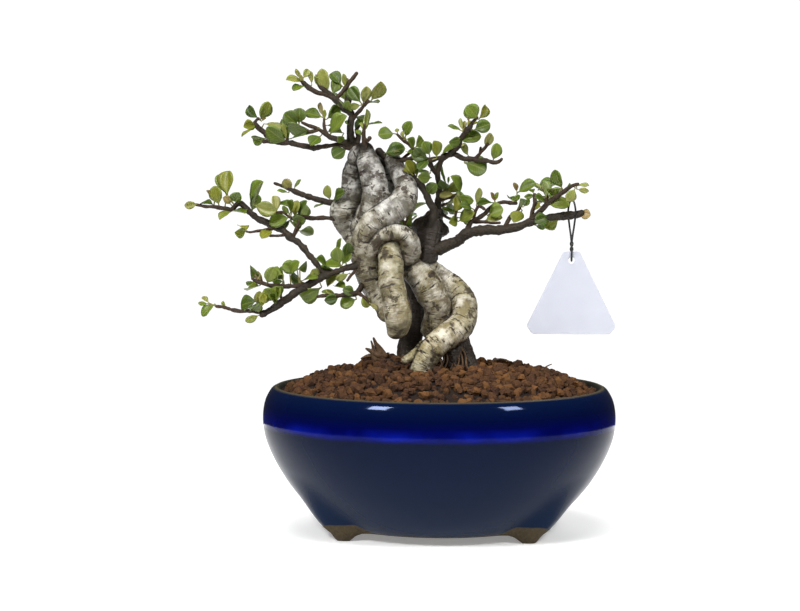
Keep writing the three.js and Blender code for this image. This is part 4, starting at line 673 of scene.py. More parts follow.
# The twigs of each branch, as points [x, y, z, radius], and its leaves, each as the place of its
# foot, the way to its tip, its width, how far it is turned from the front in degrees and its shade
sprays = {
    "spray_top_left": ([
        [[-48, 1, 221.5, 2.6], [-53, 2, 222.5, 1.8], [-57.5, 3, 224, 1.4], [-63.5, 5, 223.5, 1.3],
         [-69.5, 7, 222.5, 1.4], [-73.5, 8, 222, 1.6], [-77.5, 9, 223, 1.6], [-82.5, 11, 224, 1.6],
         [-88, 12, 225, 1.5], [-94, 14, 225.5, 1.5], [-100, 16, 226.5, 1.5], [-104, 17, 226, 1.3]],
        [[-99, 16, 227, 1.3], [-102.5, 17, 230, 1.6], [-106, 18, 233, 1.7], [-108, 18, 235, 1.5],
         [-109.5, 19, 237.5, 1.1], [-107.5, 19, 239.5, 0.9]],
        [[-50.5, 1, 223, 1.5], [-54.5, 0, 225.5, 1.5], [-59, -1, 227, 1.6], [-63, -2, 228.5, 1.5],
         [-67, -3, 231, 1.3], [-71, -4, 233.5, 1.1], [-75.5, -5, 235, 1], [-78.5, -6, 236.5, 0.9]],
        [[-64, -2, 229, 1.1], [-66, -1, 232.5, 1], [-66.5, 0, 236, 0.9], [-66.5, 0, 238.5, 0.8]],
        [[-90, 13, 225, 1.1], [-89.5, 12, 227.5, 0.9]],
        [[-69, -4, 232.5, 0.9], [-73.5, -5, 231, 0.9], [-77.5, -5, 233, 0.8],
         [-81.5, -5, 235, 0.8]],
        [[-101, 17, 228, 1.1], [-97, 26, 231, 0.9], [-93, 34, 233, 0.8]],
    ], [
        [-107.5, 19, 239.5, -6.5, 3, 7.5, 6.5, -40, 1],
        [-106.5, 19, 238.5, 6, -3.5, 10, 7.5, 40, 6],
        [-109, 18.5, 236, -6, -7.5, -1.5, 6.5, -10, 6], [-109, 18, 234.5, -9.5, 3, -5, 3, 40, 7],
        [-104, 18, 236.5, 11, -3, -2, 4.5, -25, 7],
        [-89.5, 12.5, 225.5, -12, -4, 7.5, 9.5, -35, 3],
        [-89.5, 12.5, 225.5, -2, -3.5, 11, 3, -25, 7],
        [-89, 12.5, 226.5, 2, -5.5, 8.5, 6.5, -50, 4], [-88, 12, 227.5, 13.5, 4, 4.5, 4, -40, 3],
        [-102.5, 16.5, 228, -9, 5, -0.5, 6.5, -50, 4], [-81, -5, 235, -7.5, -3, 7, 9, -10, 2],
        [-80.5, -5, 235.5, 0.5, -2.5, 9, 8.5, -10, 3],
        [-73.5, -5, 231.5, -13.5, -4, 2.5, 9, -65, 3],
        [-68, -3.5, 231.5, -2.5, -1, 2.5, 2.5, -25, 8], [-68, -3, 229, -5.5, -6, -5.5, 7.5, 10, 2],
        [-67, 0, 239.5, -10, -3, 3.5, 7, 20, 3], [-67, 0, 240, -2.5, 2.5, 8.5, 3, -25, 8],
        [-66, 0, 238.5, 0, -1.5, 5.5, 2.5, -25, 7], [-65, 0, 238.5, 7.5, 3, 7.5, 7, 35, 2],
        [-65.5, 0, 235, 6.5, -2, 0.5, 1.5, 35, 3], [-63, -2, 229.5, 10, -4, 11, 10, -25, 4],
        [-55, -0.5, 230.5, -9.5, 4, 1.5, 6.5, 30, 3],
        [-55.5, -0.5, 225.5, -2.5, -6, 3, 4.5, -25, 4], [-54, 0.5, 225.5, 2, 7, 4, 5.5, 40, 6],
        [-53.5, 2, 221.5, -8, -2.5, -5, 8.5, 10, 2], [-69.5, -3.5, 232.5, -7, -2, -2.5, 3, 25, 2],
        [-105.5, 19, 238, 2, 1, 2.5, 2.5, -25, 9], [-97.5, 25.5, 230.5, -2.5, 6, -1.5, 3, 105, 7],
        [-97.5, 25, 231, 3, 2.5, 8.5, 7, 140, 3], [-97, 25, 230.5, 5.5, 3.5, 0, 3, -75, 8],
        [-93.5, 33.5, 233.5, 2.5, 6, 8.5, 9, 60, 4], [-93, 33, 233, 5.5, 5.5, 5.5, 7, -55, 4],
        [-93, 33.5, 232.5, 4.5, 3.5, 0.5, 2.5, -100, 7],
        [-93.5, 33.5, 232.5, 0.5, 5.5, 0, 2.5, -20, 8],
        [-93.5, 33.5, 233, -0.5, 5.5, 4.5, 3, 70, 7],
    ]),
    "spray_leader": ([
        [[-48, 2, 220.5, 2.6], [-50, 2, 225, 2.3], [-51, 1, 229, 2], [-51.5, 0, 233.5, 1.9],
         [-50.5, 0, 238, 1.8], [-51, 0, 241.5, 2], [-53.5, -1, 244, 2], [-56.5, -1, 246.5, 2],
         [-60, -2, 250, 2], [-63, -2, 252.5, 1.8], [-65.5, -3, 255, 1.6], [-68.5, -3, 257.5, 1.1]],
        [[-61, -2, 250.5, 1.6], [-65, -3, 252.5, 1.3], [-69.5, -4, 253.5, 1.3],
         [-73.5, -5, 255.5, 1.4], [-76.5, -5, 258, 1.5], [-78.5, -6, 260, 1.2]],
        [[-60, -2, 250, 1.3], [-57, 0, 253, 1.2], [-54.5, 1, 256, 1.3], [-52, 2, 259.5, 1.2],
         [-50, 3, 262.5, 1.1], [-48, 4, 265, 1.2]],
        [[-53.5, -1, 246, 1.9], [-52.5, 1, 250, 1.9], [-52.5, 2, 253.5, 1.6], [-54, 3, 256.5, 1]],
        [[-49.5, 0, 239, 1.3], [-46.5, -3, 242.5, 1.1], [-43.5, -5, 245.5, 1.2],
         [-40.5, -7, 248.5, 1]],
        [[-47.5, 2, 225, 1.6], [-47, 3, 229, 1.5], [-48, 4, 232.5, 1.2], [-46.5, 5, 235, 0.9]],
        [[-54, 0, 244, 1], [-53, 9, 247, 0.9], [-55, 19, 250, 0.8]],
    ], [
        [-78, -5.5, 259.5, -9.5, -3, 1.5, 5, 25, 7], [-78.5, -6, 261, -3.5, -2, 6, 2.5, -25, 8],
        [-78, -6, 261.5, 3, 2, 5.5, 4, 25, 7], [-76.5, -5, 257.5, -6, -8, -1.5, 6.5, 40, 3],
        [-73, -5, 258, -1.5, 2.5, 8.5, 3, 25, 7], [-69.5, -3, 257, -2, -2, 6, 3, 25, 6],
        [-69, -3, 257.5, -2, 2, 7, 2.5, 25, 8], [-63.5, -2.5, 253.5, -4.5, -4, 13, 7.5, -25, 7],
        [-61.5, -2, 252.5, 3, 3, 9, 6.5, 25, 4], [-56.5, 1, 258, -6, 2.5, 7.5, 6.5, 10, 1],
        [-54.5, 1, 256.5, -0.5, -2.5, 8, 3, 25, 7], [-53.5, 1.5, 257, 0.5, 1.5, 5.5, 1.5, 25, 9],
        [-44.5, -5.5, 247.5, -7, 3, 9, 7.5, -15, 1], [-43.5, -5.5, 247, 2.5, -3, 10, 6, 25, 7],
        [-39, -7, 248.5, 6.5, -3.5, 11, 8.5, 50, 6], [-40.5, -6.5, 247.5, 5, 8, 2, 6, -50, 3],
        [-44.5, -5, 246.5, -6.5, 2, -1, 4, -25, 7], [-51.5, -1, 242.5, -1, -8, 5, 6, -50, 4],
        [-48.5, -0.5, 240, 4.5, 7.5, -1.5, 5.5, 40, 3], [-49, 4, 232.5, 2, -2, 6, 2.5, 25, 4],
        [-77.5, -6, 259, -2, -2.5, 4.5, 2.5, -25, 8], [-59.5, -2, 250, 4, -1.5, -4.5, 3, 25, 4],
        [-50.5, 0, 235, -3.5, -1.5, 2.5, 3, 25, 3], [-53.5, 4, 245, -1, 8.5, -2, 7, 50, 2],
        [-53, 3.5, 246, 1.5, 1.5, 5.5, 2.5, 90, 7], [-53.5, 12, 248.5, -2.5, 1.5, 9, 7, 150, 6],
        [-53.5, 12, 247.5, -2.5, 7.5, -3, 7, 105, 3], [-54.5, 18.5, 250, 1.5, 9, 4.5, 8, -20, 3],
        [-55, 18.5, 249.5, -0.5, 5, -1, 2.5, 35, 7], [-55.5, 18.5, 250, -7, 6, 5.5, 7.5, 60, 3],
        [-55, 18.5, 250, -2.5, 2.5, 4.5, 2.5, 135, 7], [-54.5, 18.5, 250, 1, 5.5, 5, 3.5, -80, 8],
    ]),
    "spray_front_leader": ([
        [[-42, -4, 222.5, 1.6], [-43, -5, 227, 1.3], [-43, -6, 231.5, 1], [-42.5, -7, 235, 0.8]],
        [[-43, -5, 227.5, 0.9], [-40.5, -7, 226, 1], [-39.5, -8, 227.5, 1.2]],
    ], [
        [-43, -5.5, 230, 2, 4, 14.5, 4, 45, 6], [-42, -7, 235, 9.5, 3, 2, 2.5, -55, 2],
        [-43.5, -5.5, 229, -4, -1.5, 3, 3, 25, 3], [-43, -6, 231.5, -1.5, 1.5, 5.5, 3, 25, 7],
    ]),
    "spray_left_high": ([
        [[-53, 7, 190, 2.2], [-58, 8, 190.5, 1.9], [-64, 8, 190.5, 1.8], [-69, 9, 191.5, 1.8],
         [-75, 10, 193, 1.8], [-80.5, 12, 195, 1.7], [-86, 13, 197, 1.5], [-90, 14, 199, 1.3],
         [-94.5, 15, 200.5, 1.1], [-97.5, 16, 201.5, 0.9]],
    ], [
        [-87, 13.5, 197.5, -4.5, -2.5, 6, 6, -25, 8], [-86, 13, 198, 4, 2, 6, 2.5, -25, 3],
        [-89, 13.5, 196, -6.5, -2, 1.5, 2.5, 25, 4], [-64, 8, 191.5, -2, -2.5, 8.5, 5, -25, 7],
        [-62, 6.5, 191.5, 5.5, -10, 5.5, 8, -35, 1], [-65.5, 8.5, 190, -8, -2.5, -2, 2, 50, 4],
    ]),
    "spray_left_knob": ([
        [[-60, 4, 181, 1.6], [-66, 3, 181.5, 1.3], [-70.5, 3, 181.5, 1.2], [-75, 2, 181.5, 1.2],
         [-79, 1, 182, 1.2], [-82.5, 0, 181.5, 1.1], [-86.5, -1, 182, 0.9], [-90, -1, 184.5, 0.8],
         [-94, -2, 185, 0.8]],
    ], [
        [-107.5, -2, 189, 14, -4, -3, 8.5, 25, 7], [-94, -2, 184.5, -2, 3, 10, 5, 25, 8],
        [-86.5, -1, 182, -11.5, -3.5, -3, 9, 10, 4], [-86, -0.5, 181, -6, 2.5, -6, 3, -25, 2],
        [-84.5, -1, 187.5, -9, 3, 4, 6.5, 40, 1], [-86.5, -1, 183.5, -4, -2, 5, 3, -25, 4],
        [-84, -0.5, 182, 1.5, -2.5, 9.5, 6, -25, 7], [-82, 0, 181.5, 4, -3, 10.5, 7.5, -50, 1],
        [-86, 0, 180.5, 8.5, -5.5, 1, 6.5, 40, 3], [-85.5, -1, 184.5, -2, -8.5, 6.5, 7, 55, 3],
    ]),
    "spray_left_mid": ([
        [[-42.5, -10, 157, 2.6], [-47.5, -13, 154.5, 2.1], [-53.5, -14, 153, 1.8],
         [-59, -15, 151, 1.8], [-64.5, -15, 149, 2.2], [-70, -16, 146.5, 2.4],
         [-74.5, -16, 143.5, 2.3], [-78.5, -17, 141, 2.2], [-83, -18, 138, 2.3],
         [-87.5, -18, 135, 2.2], [-92, -19, 132, 2.1], [-96.5, -19, 129, 1.8],
         [-100.5, -20, 126.5, 1.5]],
        [[-63, -14, 150, 2], [-67, -13, 151.5, 1.9], [-70, -12, 155.5, 1.8], [-74, -10, 160, 1.8],
         [-77.5, -9, 164, 1.8], [-81, -7, 167.5, 1.9], [-85.5, -5, 170.5, 2],
         [-90.5, -3, 174.5, 2], [-95.5, -1, 176.5, 2], [-101, 1, 179, 2], [-106, 3, 181, 1.9],
         [-110, 4, 184, 1.9], [-114, 5, 188, 1.8], [-117, 6, 190, 1.6], [-119.5, 6, 188.5, 1.5],
         [-122, 7, 186.5, 1.7], [-127.5, 8, 187, 1.4], [-133, 9, 188, 1.2], [-138.5, 10, 188, 1],
         [-143.5, 11, 189, 0.9]],
        [[-74, -16, 144, 1.6], [-79, -17, 143.5, 1.4], [-84, -18, 143, 1.4], [-89, -19, 143, 1.4],
         [-94, -20, 143.5, 1.3], [-99, -21, 144.5, 1.2], [-103, -22, 146, 1.1],
         [-105.5, -22, 147.5, 0.9]],
        [[-88, -18, 134.5, 1], [-89.5, -20, 137.5, 0.9], [-89.5, -21, 141, 0.8]],
        [[-98.5, -19, 128, 1.3], [-103, -18, 128, 1.2], [-108, -17, 128.5, 1.2],
         [-113.5, -15, 128.5, 1.2], [-118.5, -13, 129, 1.1], [-123.5, -11, 130, 1],
         [-128.5, -9, 130.5, 0.9]],
        [[-93.5, -2, 176, 1], [-99, -4, 175, 0.9], [-104.5, -6, 174, 0.9], [-109, -7, 173.5, 0.8],
         [-111, -8, 174, 0.8]],
        [[-88.5, -4, 172, 0.9], [-93, -6, 171.5, 0.8], [-97, -8, 171.5, 0.8]],
        [[-85, -5, 169, 1.2], [-83, -6, 173.5, 1.1], [-81.5, -6, 177.5, 0.9], [-81, -6, 180, 0.8]],
        [[-47, -13, 152.5, 0.9], [-49.5, -16, 149.5, 0.9], [-51.5, -18, 146.5, 0.8]],
        [[-76.5, -9, 162, 0.9], [-76.5, -9, 165.5, 0.8]],
        [[-84, -4, 171, 1], [-82, 6, 176, 0.9], [-80, 17, 181, 0.8]],
    ], [
        [-142.5, 10.5, 189.5, -7.5, -2.5, -1, 4.5, -25, 8],
        [-132.5, 9, 189, -9.5, 4, 2, 6.5, 50, 1],
        [-129.5, 8.5, 188.5, -2.5, -3.5, 11, 7.5, -10, 6],
        [-132, 9, 193, -4.5, -2, 4.5, 2.5, 25, 9], [-125, 8, 194.5, -4.5, 3.5, 12.5, 8.5, 15, 5],
        [-124, 6, 194, -0.5, 4, 15, 10, -20, 6], [-122, 6.5, 189, -4.5, -2, 4.5, 5, 25, 8],
        [-122, 6, 191, 5.5, -7.5, 4, 6.5, 50, 3], [-121.5, 7, 185.5, -7, -4, -5, 6, 35, 6],
        [-121.5, 7, 185.5, 9, -7, -1, 7.5, -55, 3], [-109.5, 4, 185, 2, -3, 11, 7.5, 50, 5],
        [-109.5, 4, 185.5, 7, -5.5, 17.5, 12.5, -60, 4],
        [-111, -8, 174, -5.5, -7.5, -0.5, 6, -45, 6], [-111, -8, 174, -4.5, 8, 4.5, 6.5, 40, 6],
        [-96.5, -3.5, 174.5, -5, -8, -3, 6.5, 25, 6],
        [-129.5, -9, 132, -7.5, -3.5, -6, 6.5, 30, 4], [-133, -9, 132.5, -4, 1.5, 4, 3, 25, 6],
        [-133.5, -9, 132, -5.5, -1.5, 0.5, 2.5, -25, 6],
        [-123.5, -11, 130, -0.5, -1, 4, 2.5, -25, 7],
        [-103.5, -17.5, 134.5, -11, 3, -2.5, 9, 10, 2],
        [-102, -20, 126.5, -7.5, -2.5, -3.5, 4, -25, 7],
        [-107, -17, 128.5, 5.5, -8, 5.5, 7, 55, 2],
        [-100.5, -18.5, 130.5, -1.5, -5.5, 9, 6.5, -35, 6],
        [-92.5, -19, 134.5, -6.5, -2.5, 7, 7.5, -10, 5],
        [-90, -19.5, 136.5, -1.5, -7.5, 6.5, 6.5, 40, 3],
        [-101, -22, 150, -8.5, 8, 2, 7.5, -40, 2], [-99, -21, 144.5, -4.5, 2.5, 7, 4, -25, 9],
        [-104.5, -22, 146, -5, 1.5, -1.5, 2.5, -25, 2],
        [-101.5, -21.5, 143.5, -8.5, 7, -3, 7.5, 55, 6],
        [-88, -19, 149.5, -10, 4.5, 2.5, 7, 25, 4], [-97.5, -21, 144.5, 5, -5, 9, 7.5, 25, 5],
        [-94, -19, 134.5, 3.5, -8, 7.5, 7.5, -25, 5],
        [-103, -18.5, 131, 4.5, -8.5, 6.5, 7.5, -30, 6],
        [-88, -18.5, 146, -6, -2, -0.5, 3, -25, 2], [-84.5, -18, 149.5, 4.5, -5.5, 8, 7, -35, 4],
        [-79, -16.5, 152.5, -9.5, -3, 2.5, 7.5, -10, 4], [-80.5, -17, 152.5, 6, 7, 2.5, 6, 50, 3],
        [-88, -18.5, 146, -4.5, 6, 7.5, 7, -35, 4], [-77, -16.5, 145, -8.5, 3.5, 4, 6.5, -40, 1],
        [-78, -16.5, 146, 9, -4.5, 3.5, 7, -55, 4], [-68, -15.5, 148, -4, -1.5, 4.5, 5.5, -10, 7],
        [-63.5, -13.5, 154, -5.5, -7, 5, 6.5, 40, 3], [-53.5, -14, 154, -14.5, 4, 2, 9.5, 40, 4],
        [-56, -14.5, 155.5, -1.5, -4.5, 10, 7.5, -10, 5],
        [-58, -14.5, 161.5, 2.5, -2.5, 9, 3, -25, 3], [-53.5, -14, 159.5, 3, -6, 7.5, 6.5, 50, 1],
        [-55, -15.5, 155, 5, 1, 7, 5.5, -10, 4], [-66.5, -16, 142.5, -12.5, 4, -6.5, 9.5, -40, 4],
        [-54, -14.5, 150.5, -10, 3.5, -8, 8.5, 40, 6],
        [-50.5, -16.5, 150.5, -8, 1.5, -4, 4, -25, 7], [-57, -15, 151.5, -10.5, 3.5, 1, 7, -45, 2],
        [-97, -20, 139, -2.5, -8, -3.5, 6, -35, 6], [-91.5, -19, 133, -4, -6.5, 5.5, 6, 35, 3],
        [-82.5, 2.5, 175, 1.5, 2, 9, 7, -165, 3], [-82, 3, 174, 7.5, 6, -1, 8, -110, 2],
        [-83, 3, 174.5, -4.5, 5.5, 5, 6.5, 75, 5], [-81, 11.5, 178, 0, 6.5, 0, 3, 5, 8],
        [-81, 11, 179, 2, 0, 11, 9, 145, 5],
    ]),
    "spray_left_low": ([
        [[-42, -7, 146, 1.9], [-44, -11, 142.5, 1.7], [-46.5, -14, 139, 1.6],
         [-50, -17, 138.5, 1.5], [-54.5, -19, 138, 1.4], [-59, -21, 138, 1.2],
         [-63.5, -22, 138, 1.1], [-68, -23, 137.5, 0.9]],
        [[-46, -14, 139, 1.1], [-42, -17, 137, 0.9], [-38.5, -19, 133.5, 0.8],
         [-36, -20, 131, 0.8]],
    ], [
        [-52, -17.5, 141.5, -7.5, 7, 1.5, 6.5, 40, 5], [-47, -15, 138.5, -6, -6, 3, 6, 10, 1],
        [-56, -19.5, 137, -8, -5.5, -1.5, 6, -25, 1], [-46.5, -15, 135.5, -9, -3, -3, 7.5, 10, 5],
        [-43.5, -16, 137.5, 4, -2, -6, 6, -25, 7], [-38.5, -22, 134, 4.5, -2, -4, 3, -25, 8],
        [-58, -20.5, 138.5, -5.5, -2, 3, 3, -25, 7], [-61, -21.5, 138.5, -5, 1.5, 2.5, 3, 25, 3],
    ]),
    "spray_right_low": ([
        [[-6, 4, 161, 4.4], [0, 3, 164, 4], [6, 2, 166.5, 3.6], [11, 1, 168.5, 3.3],
         [15.5, -1, 172.5, 3.1], [24, -3, 174.5, 3], [29.5, -4, 175, 2.7], [35.5, -6, 175, 2.6],
         [41, -7, 176, 2.5], [45.5, -8, 177, 2.4], [50, -8, 178.5, 2.2], [54.5, -9, 180, 2],
         [59.5, -10, 181.5, 2], [65, -11, 182.5, 2.2], [69.5, -11, 183, 2.3],
         [74, -12, 183.5, 2.4], [78.5, -13, 184, 2.3], [81.5, -13, 185, 1.7]],
        [[50.5, -8, 179, 1.7], [54.5, -10, 182.5, 1.6], [58.5, -12, 186.5, 1.5],
         [62.5, -14, 190.5, 1.5], [67, -16, 194, 1.4], [71.5, -18, 197.5, 1.3],
         [75, -19, 200, 1.2], [79, -20, 201.5, 1]],
        [[53, -9, 181, 1.3], [54, -7, 186, 1.2], [55, -5, 190.5, 1.2], [55, -3, 195, 1.1]],
        [[37.5, -6, 176, 1.2], [40, -4, 180.5, 1.2], [42.5, -2, 183.5, 1.1], [45.5, 0, 186, 1],
         [47, 1, 189, 0.8]],
        [[15, -1, 173, 1.7], [17, 1, 176.5, 1.5], [19, 2, 179.5, 1.5], [22.5, 3, 181.5, 1.5],
         [26, 4, 184, 1.4], [29.5, 5, 187.5, 1.2], [33, 5, 189.5, 1.1], [37, 6, 191, 1.1],
         [41, 7, 190.5, 1.1], [44.5, 8, 190, 0.9]],
        [[19.5, 2, 179.5, 1.3], [24.5, 1, 179.5, 1.1], [29.5, 0, 179, 0.8], [35, -1, 179, 0.8]],
        [[20, 2, 181, 0.9], [21, 1, 185.5, 0.9], [23, 0, 188.5, 1], [26, -1, 187, 0.9]],
        [[61, -14, 190, 1.1], [62, -4, 194, 1], [61, 6, 197, 0.9], [59, 17, 199, 0.8]],
    ], [
        [19.5, 1, 187, -6, -6, 3, 6, 30, 2], [21.5, 0.5, 189, 2, -3, 10, 4, 25, 7],
        [31.5, 5, 190.5, -9, -5.5, 0.5, 7, 45, 1], [32.5, 5, 190.5, -2.5, -2, 6, 2.5, 25, 9],
        [32, 5, 191, 2, -1.5, 5.5, 2.5, -25, 6], [28, 4, 183, 9, -3, 4, 9.5, -10, 5],
        [26, 1, 180, 10.5, 3, 2.5, 7, -20, 6], [45, 8, 196.5, -1.5, -1.5, 5.5, 3, 25, 9],
        [45, 8, 196, 11, -3.5, 5.5, 8, -25, 3], [56.5, 17, 199, 10, 3, 3, 7, -15, 2],
        [57, 16.5, 197.5, 7, 1, 2.5, 5, 25, 7], [69, -17.5, 199, -7, 7.5, -3.5, 7, -45, 5],
        [70.5, -18, 198.5, -5.5, -3.5, 10, 7.5, -50, 3],
        [73, -18.5, 198, 1.5, -1.5, 4, 1.5, 25, 3], [78.5, -19.5, 200.5, 7, 2, 0.5, 3, -25, 7],
        [78.5, -19.5, 198.5, 6.5, -2, -1, 3, 25, 7], [77.5, -19.5, 199, -4, -2.5, -7, 6, -25, 7],
        [62.5, -14, 189.5, 11.5, -3.5, 1.5, 7.5, -15, 5],
        [61.5, -12, 190.5, -6.5, -6, 3.5, 6, 40, 2], [58.5, -12.5, 188.5, -3.5, 5, 0.5, 5, -10, 6],
        [55, -3, 195, -6, -2, -1, 3, -25, 5], [45, 8, 190, -5, 8.5, 3.5, 6.5, 50, 3],
        [46.5, 0.5, 187.5, 0.5, -7.5, 5.5, 6, 50, 4], [48.5, 1, 188, 3.5, -1.5, 4.5, 3, 25, 4],
        [48, 0.5, 186, -5, -6.5, -6.5, 7.5, 10, 6], [63, -11, 182.5, -8, -5, -2.5, 7.5, -10, 1],
        [69, -11, 181.5, -9, 3, -5.5, 7, -45, 6], [80, -13, 183.5, 6.5, -2, 0.5, 6, -10, 10],
        [55, -9.5, 178, 6, 1, -2, 2.5, 25, 1], [54.5, -3, 196, -3, 6, 3, 4.5, 30, 2],
        [42, 7, 191.5, 4.5, -1.5, 3, 3, 25, 4], [61.5, -8, 192, -5, 7, -2.5, 7, 75, 4],
        [61.5, -8.5, 193, -1.5, 3.5, 10, 8, 125, 3], [62.5, -8, 192.5, 7.5, 4, 6, 8, -110, 3],
        [61.5, 0, 196, -2, 0.5, 5, 2.5, -175, 8], [62, 0, 195, -1, 9.5, -4.5, 8, 130, 6],
        [61, 9.5, 197.5, 6, 7.5, 5, 8, -65, 3], [60, 9, 197.5, -6, 3, 3, 3.5, 120, 7],
    ]),
    "spray_right_high": ([
        [[-3, 8, 174, 3.6], [-1, 9, 184, 3], [-1, 8, 189, 2.2], [-0.5, 8, 194, 1.8],
         [-0.5, 7, 199.5, 1.6], [-1, 6, 204.5, 1.6], [-0.5, 5, 210, 1.5], [0.5, 4, 214, 1.6],
         [2.5, 3, 216.5, 1.7], [5.5, 2, 218, 1.6], [9.5, 1, 218, 1.5], [14, 0, 216, 1.5],
         [18.5, -1, 215.5, 1.5], [23, -2, 215, 1.5], [27.5, -3, 214.5, 1.4],
         [31.5, -4, 213.5, 1.2], [34.5, -5, 214, 1], [36, -5, 215.5, 0.8]],
        [[4, 2, 217, 1.4], [7.5, 0, 220, 1.5], [11, -2, 223.5, 1.6], [12.5, -4, 227, 1.5],
         [15, -6, 230.5, 1.6], [18, -8, 234, 1.4], [20, -9, 237, 1.1], [22, -10, 239, 0.9]],
        [[-1, 6, 206, 1.3], [-3.5, 5, 209.5, 1.3], [-5.5, 4, 213, 1.4], [-5, 3, 215, 1.5],
         [-1.5, 3, 216, 1.2], [1.5, 3, 216.5, 1]],
        [[-0.5, 8, 192, 1.2], [3.5, 5, 193, 1.1], [7, 3, 193.5, 1], [9.5, 2, 195, 0.9]],
        [[20, -1, 215, 1.1], [23, -3, 218, 1], [26, -5, 221.5, 1], [28, -7, 224, 0.9]],
        [[23.5, -3, 219, 0.8], [24, -3, 222, 0.9]],
        [[1, 9, 184, 1.1], [5.5, 6, 181.5, 0.9], [9, 4, 182, 0.8], [10, 3, 187, 0.8]],
        [[-1, 8, 188, 1], [5, 16, 190, 0.9], [8, 25, 191, 0.8]],
    ], [
        [22.5, -10, 238, -6, -3, 7.5, 9, -10, 4], [23, -10, 238, 4, 4.5, 8, 6.5, 50, 6],
        [20, -8, 232, 9, -3, 3.5, 7.5, 10, 2], [11.5, -3.5, 226, 12, -3.5, 3.5, 8.5, -15, 4],
        [13.5, -6, 231.5, -8.5, 2.5, 3.5, 3, 25, 3], [14, -6, 231.5, -2, 2, 7.5, 2.5, -25, 7],
        [14, -6, 231.5, 1, 2, 6, 2.5, 25, 8], [16, -7.5, 233, 6, 5, 5, 6, -35, 6],
        [17.5, -8.5, 236.5, -0.5, 1, 3, 1.5, -25, 9], [13.5, -4, 227, -7.5, -4.5, -2, 6, -45, 3],
        [9, -0.5, 219.5, 4.5, 7, 5, 6.5, -25, 2], [17, -0.5, 217, -3.5, 2.5, 8, 4, -25, 7],
        [1, 3, 218, 7, -5, 4, 6, -45, 4], [26.5, -5, 221.5, 3, -2.5, 9, 5, 25, 8],
        [31, -3.5, 214.5, 3, -3, 9.5, 6.5, 30, 5],
        [14.5, -0.5, 213.5, 12.5, -3.5, -3.5, 12, -10, 3],
        [12.5, 2, 195, -5.5, -3.5, 11, 8, 45, 4], [4, 7, 201, -2.5, -2.5, 8.5, 2.5, -55, 3],
        [5, 7, 201, 0.5, -1, 4.5, 1.5, -25, 3], [4.5, 7.5, 198.5, -3.5, -8.5, 5, 6.5, -50, 3],
        [3, 7.5, 197, 8, 2.5, 4.5, 6, 35, 6], [9, 2, 195.5, -8.5, -2.5, -0.5, 6, 25, 8],
        [9.5, 2, 195, 0, -5.5, -9, 7, -45, 6], [11, 2, 194.5, 8, -5.5, -3.5, 6.5, 50, 5],
        [9.5, 3.5, 184.5, -7.5, 2.5, 3, 3, 25, 3], [11, 2.5, 179.5, 9.5, -5, 5.5, 7.5, -10, 5],
        [13, 5, 181.5, 5, 0, -3, 5, -10, 7], [10.5, 4, 181, -4.5, -7.5, -2, 6, -35, 5],
        [0, 4, 215, -3.5, 8.5, -6, 7, -55, 2], [12, 4, 185, 7.5, -4.5, -3, 6, 10, 6],
        [2.5, 12.5, 188.5, 0, 9, -3, 7, -110, 4], [2, 12.5, 189.5, -3.5, 5.5, 8.5, 8.5, 55, 5],
        [3, 12, 189, 9.5, 1.5, 2.5, 8, -85, 6], [6.5, 20, 191, -2.5, 5, 8.5, 7.5, 80, 4],
        [7, 20, 190.5, 7, 4, 4, 7, -125, 1], [6.5, 20, 190, 0, 9, -5.5, 7.5, -145, 2],
    ]),
    "spray_right_front": ([
        [[-9, 3, 171, 2.8], [-3, -2, 184.5, 2.3], [-5.5, -3, 191, 2.1], [-8, -4, 196.5, 2],
         [-10.5, -5, 201, 1.9], [-13.5, -6, 204, 1.5], [-15, -7, 207, 1.1]],
        [[-11.5, -5, 202, 1], [-8.5, -7, 203.5, 0.8]],
    ], [
        [-13.5, -6.5, 206, -4, -3.5, 8.5, 6.5, 25, 6], [-12.5, -6, 205.5, 1, 6.5, 8.5, 7, -45, 4],
        [-4, -7, 205, -7.5, -6.5, 0.5, 6.5, -25, 4], [-4.5, -7, 208, -7, -2, 0.5, 3, 25, 1],
        [-7, -4, 195.5, 5, -6, 5.5, 6.5, 10, 2], [-14.5, -9.5, 206.5, -5, 4, 5, 5, 15, 6],
        [-13, -6.5, 206, 2.5, 7, 5.5, 6, -35, 3],
    ]),
    "spray_crown": ([
        [[-35, 4, 220, 2.4], [-32, 3, 217.5, 2], [-27.5, 1, 215.5, 1.7], [-22.5, -1, 215, 1.5],
         [-18, -3, 215.5, 1.4], [-13, -5, 216.5, 1.3], [-8.5, -7, 216, 1.2], [-4.5, -9, 215, 1]],
        [[-22, 0, 215, 1], [-18.5, 2, 218, 0.9], [-16, 3, 220, 0.8]],
        [[-12.5, -5, 217, 1], [-13.5, -6, 220.5, 1], [-17, -7, 224, 0.9], [-20.5, -8, 226.5, 0.9],
         [-23.5, -9, 229.5, 0.8]],
    ], [
        [-25, -9, 230, -8.5, -5, 0, 7.5, 10, 3], [-23.5, -9, 230.5, -0.5, -0.5, 2.5, 2.5, 10, 7],
        [-19, -8, 228, 2.5, -5, 8.5, 6.5, -25, 3], [-20.5, -8, 227.5, 0, -1, 4, 2.5, -25, 8],
        [-22, -8.5, 227.5, 4, 1, -0.5, 2.5, -25, 7], [-13.5, -6.5, 222, 5, 7, 6, 7, 35, 3],
        [-14, -6.5, 221.5, -3.5, -6.5, 5.5, 6, 30, 4], [-32, 1.5, 218.5, 11.5, -5, 4, 8.5, -10, 1],
        [-27.5, -1.5, 217.5, 5, -2, 2.5, 3, -25, 8], [-5, -8.5, 217.5, -3.5, -3.5, 8, 6.5, 10, 4],
        [-1, -9, 216, -1.5, -3, 10, 7, 35, 6], [-5.5, -8.5, 215.5, -10, -3, 3.5, 7.5, -10, 1],
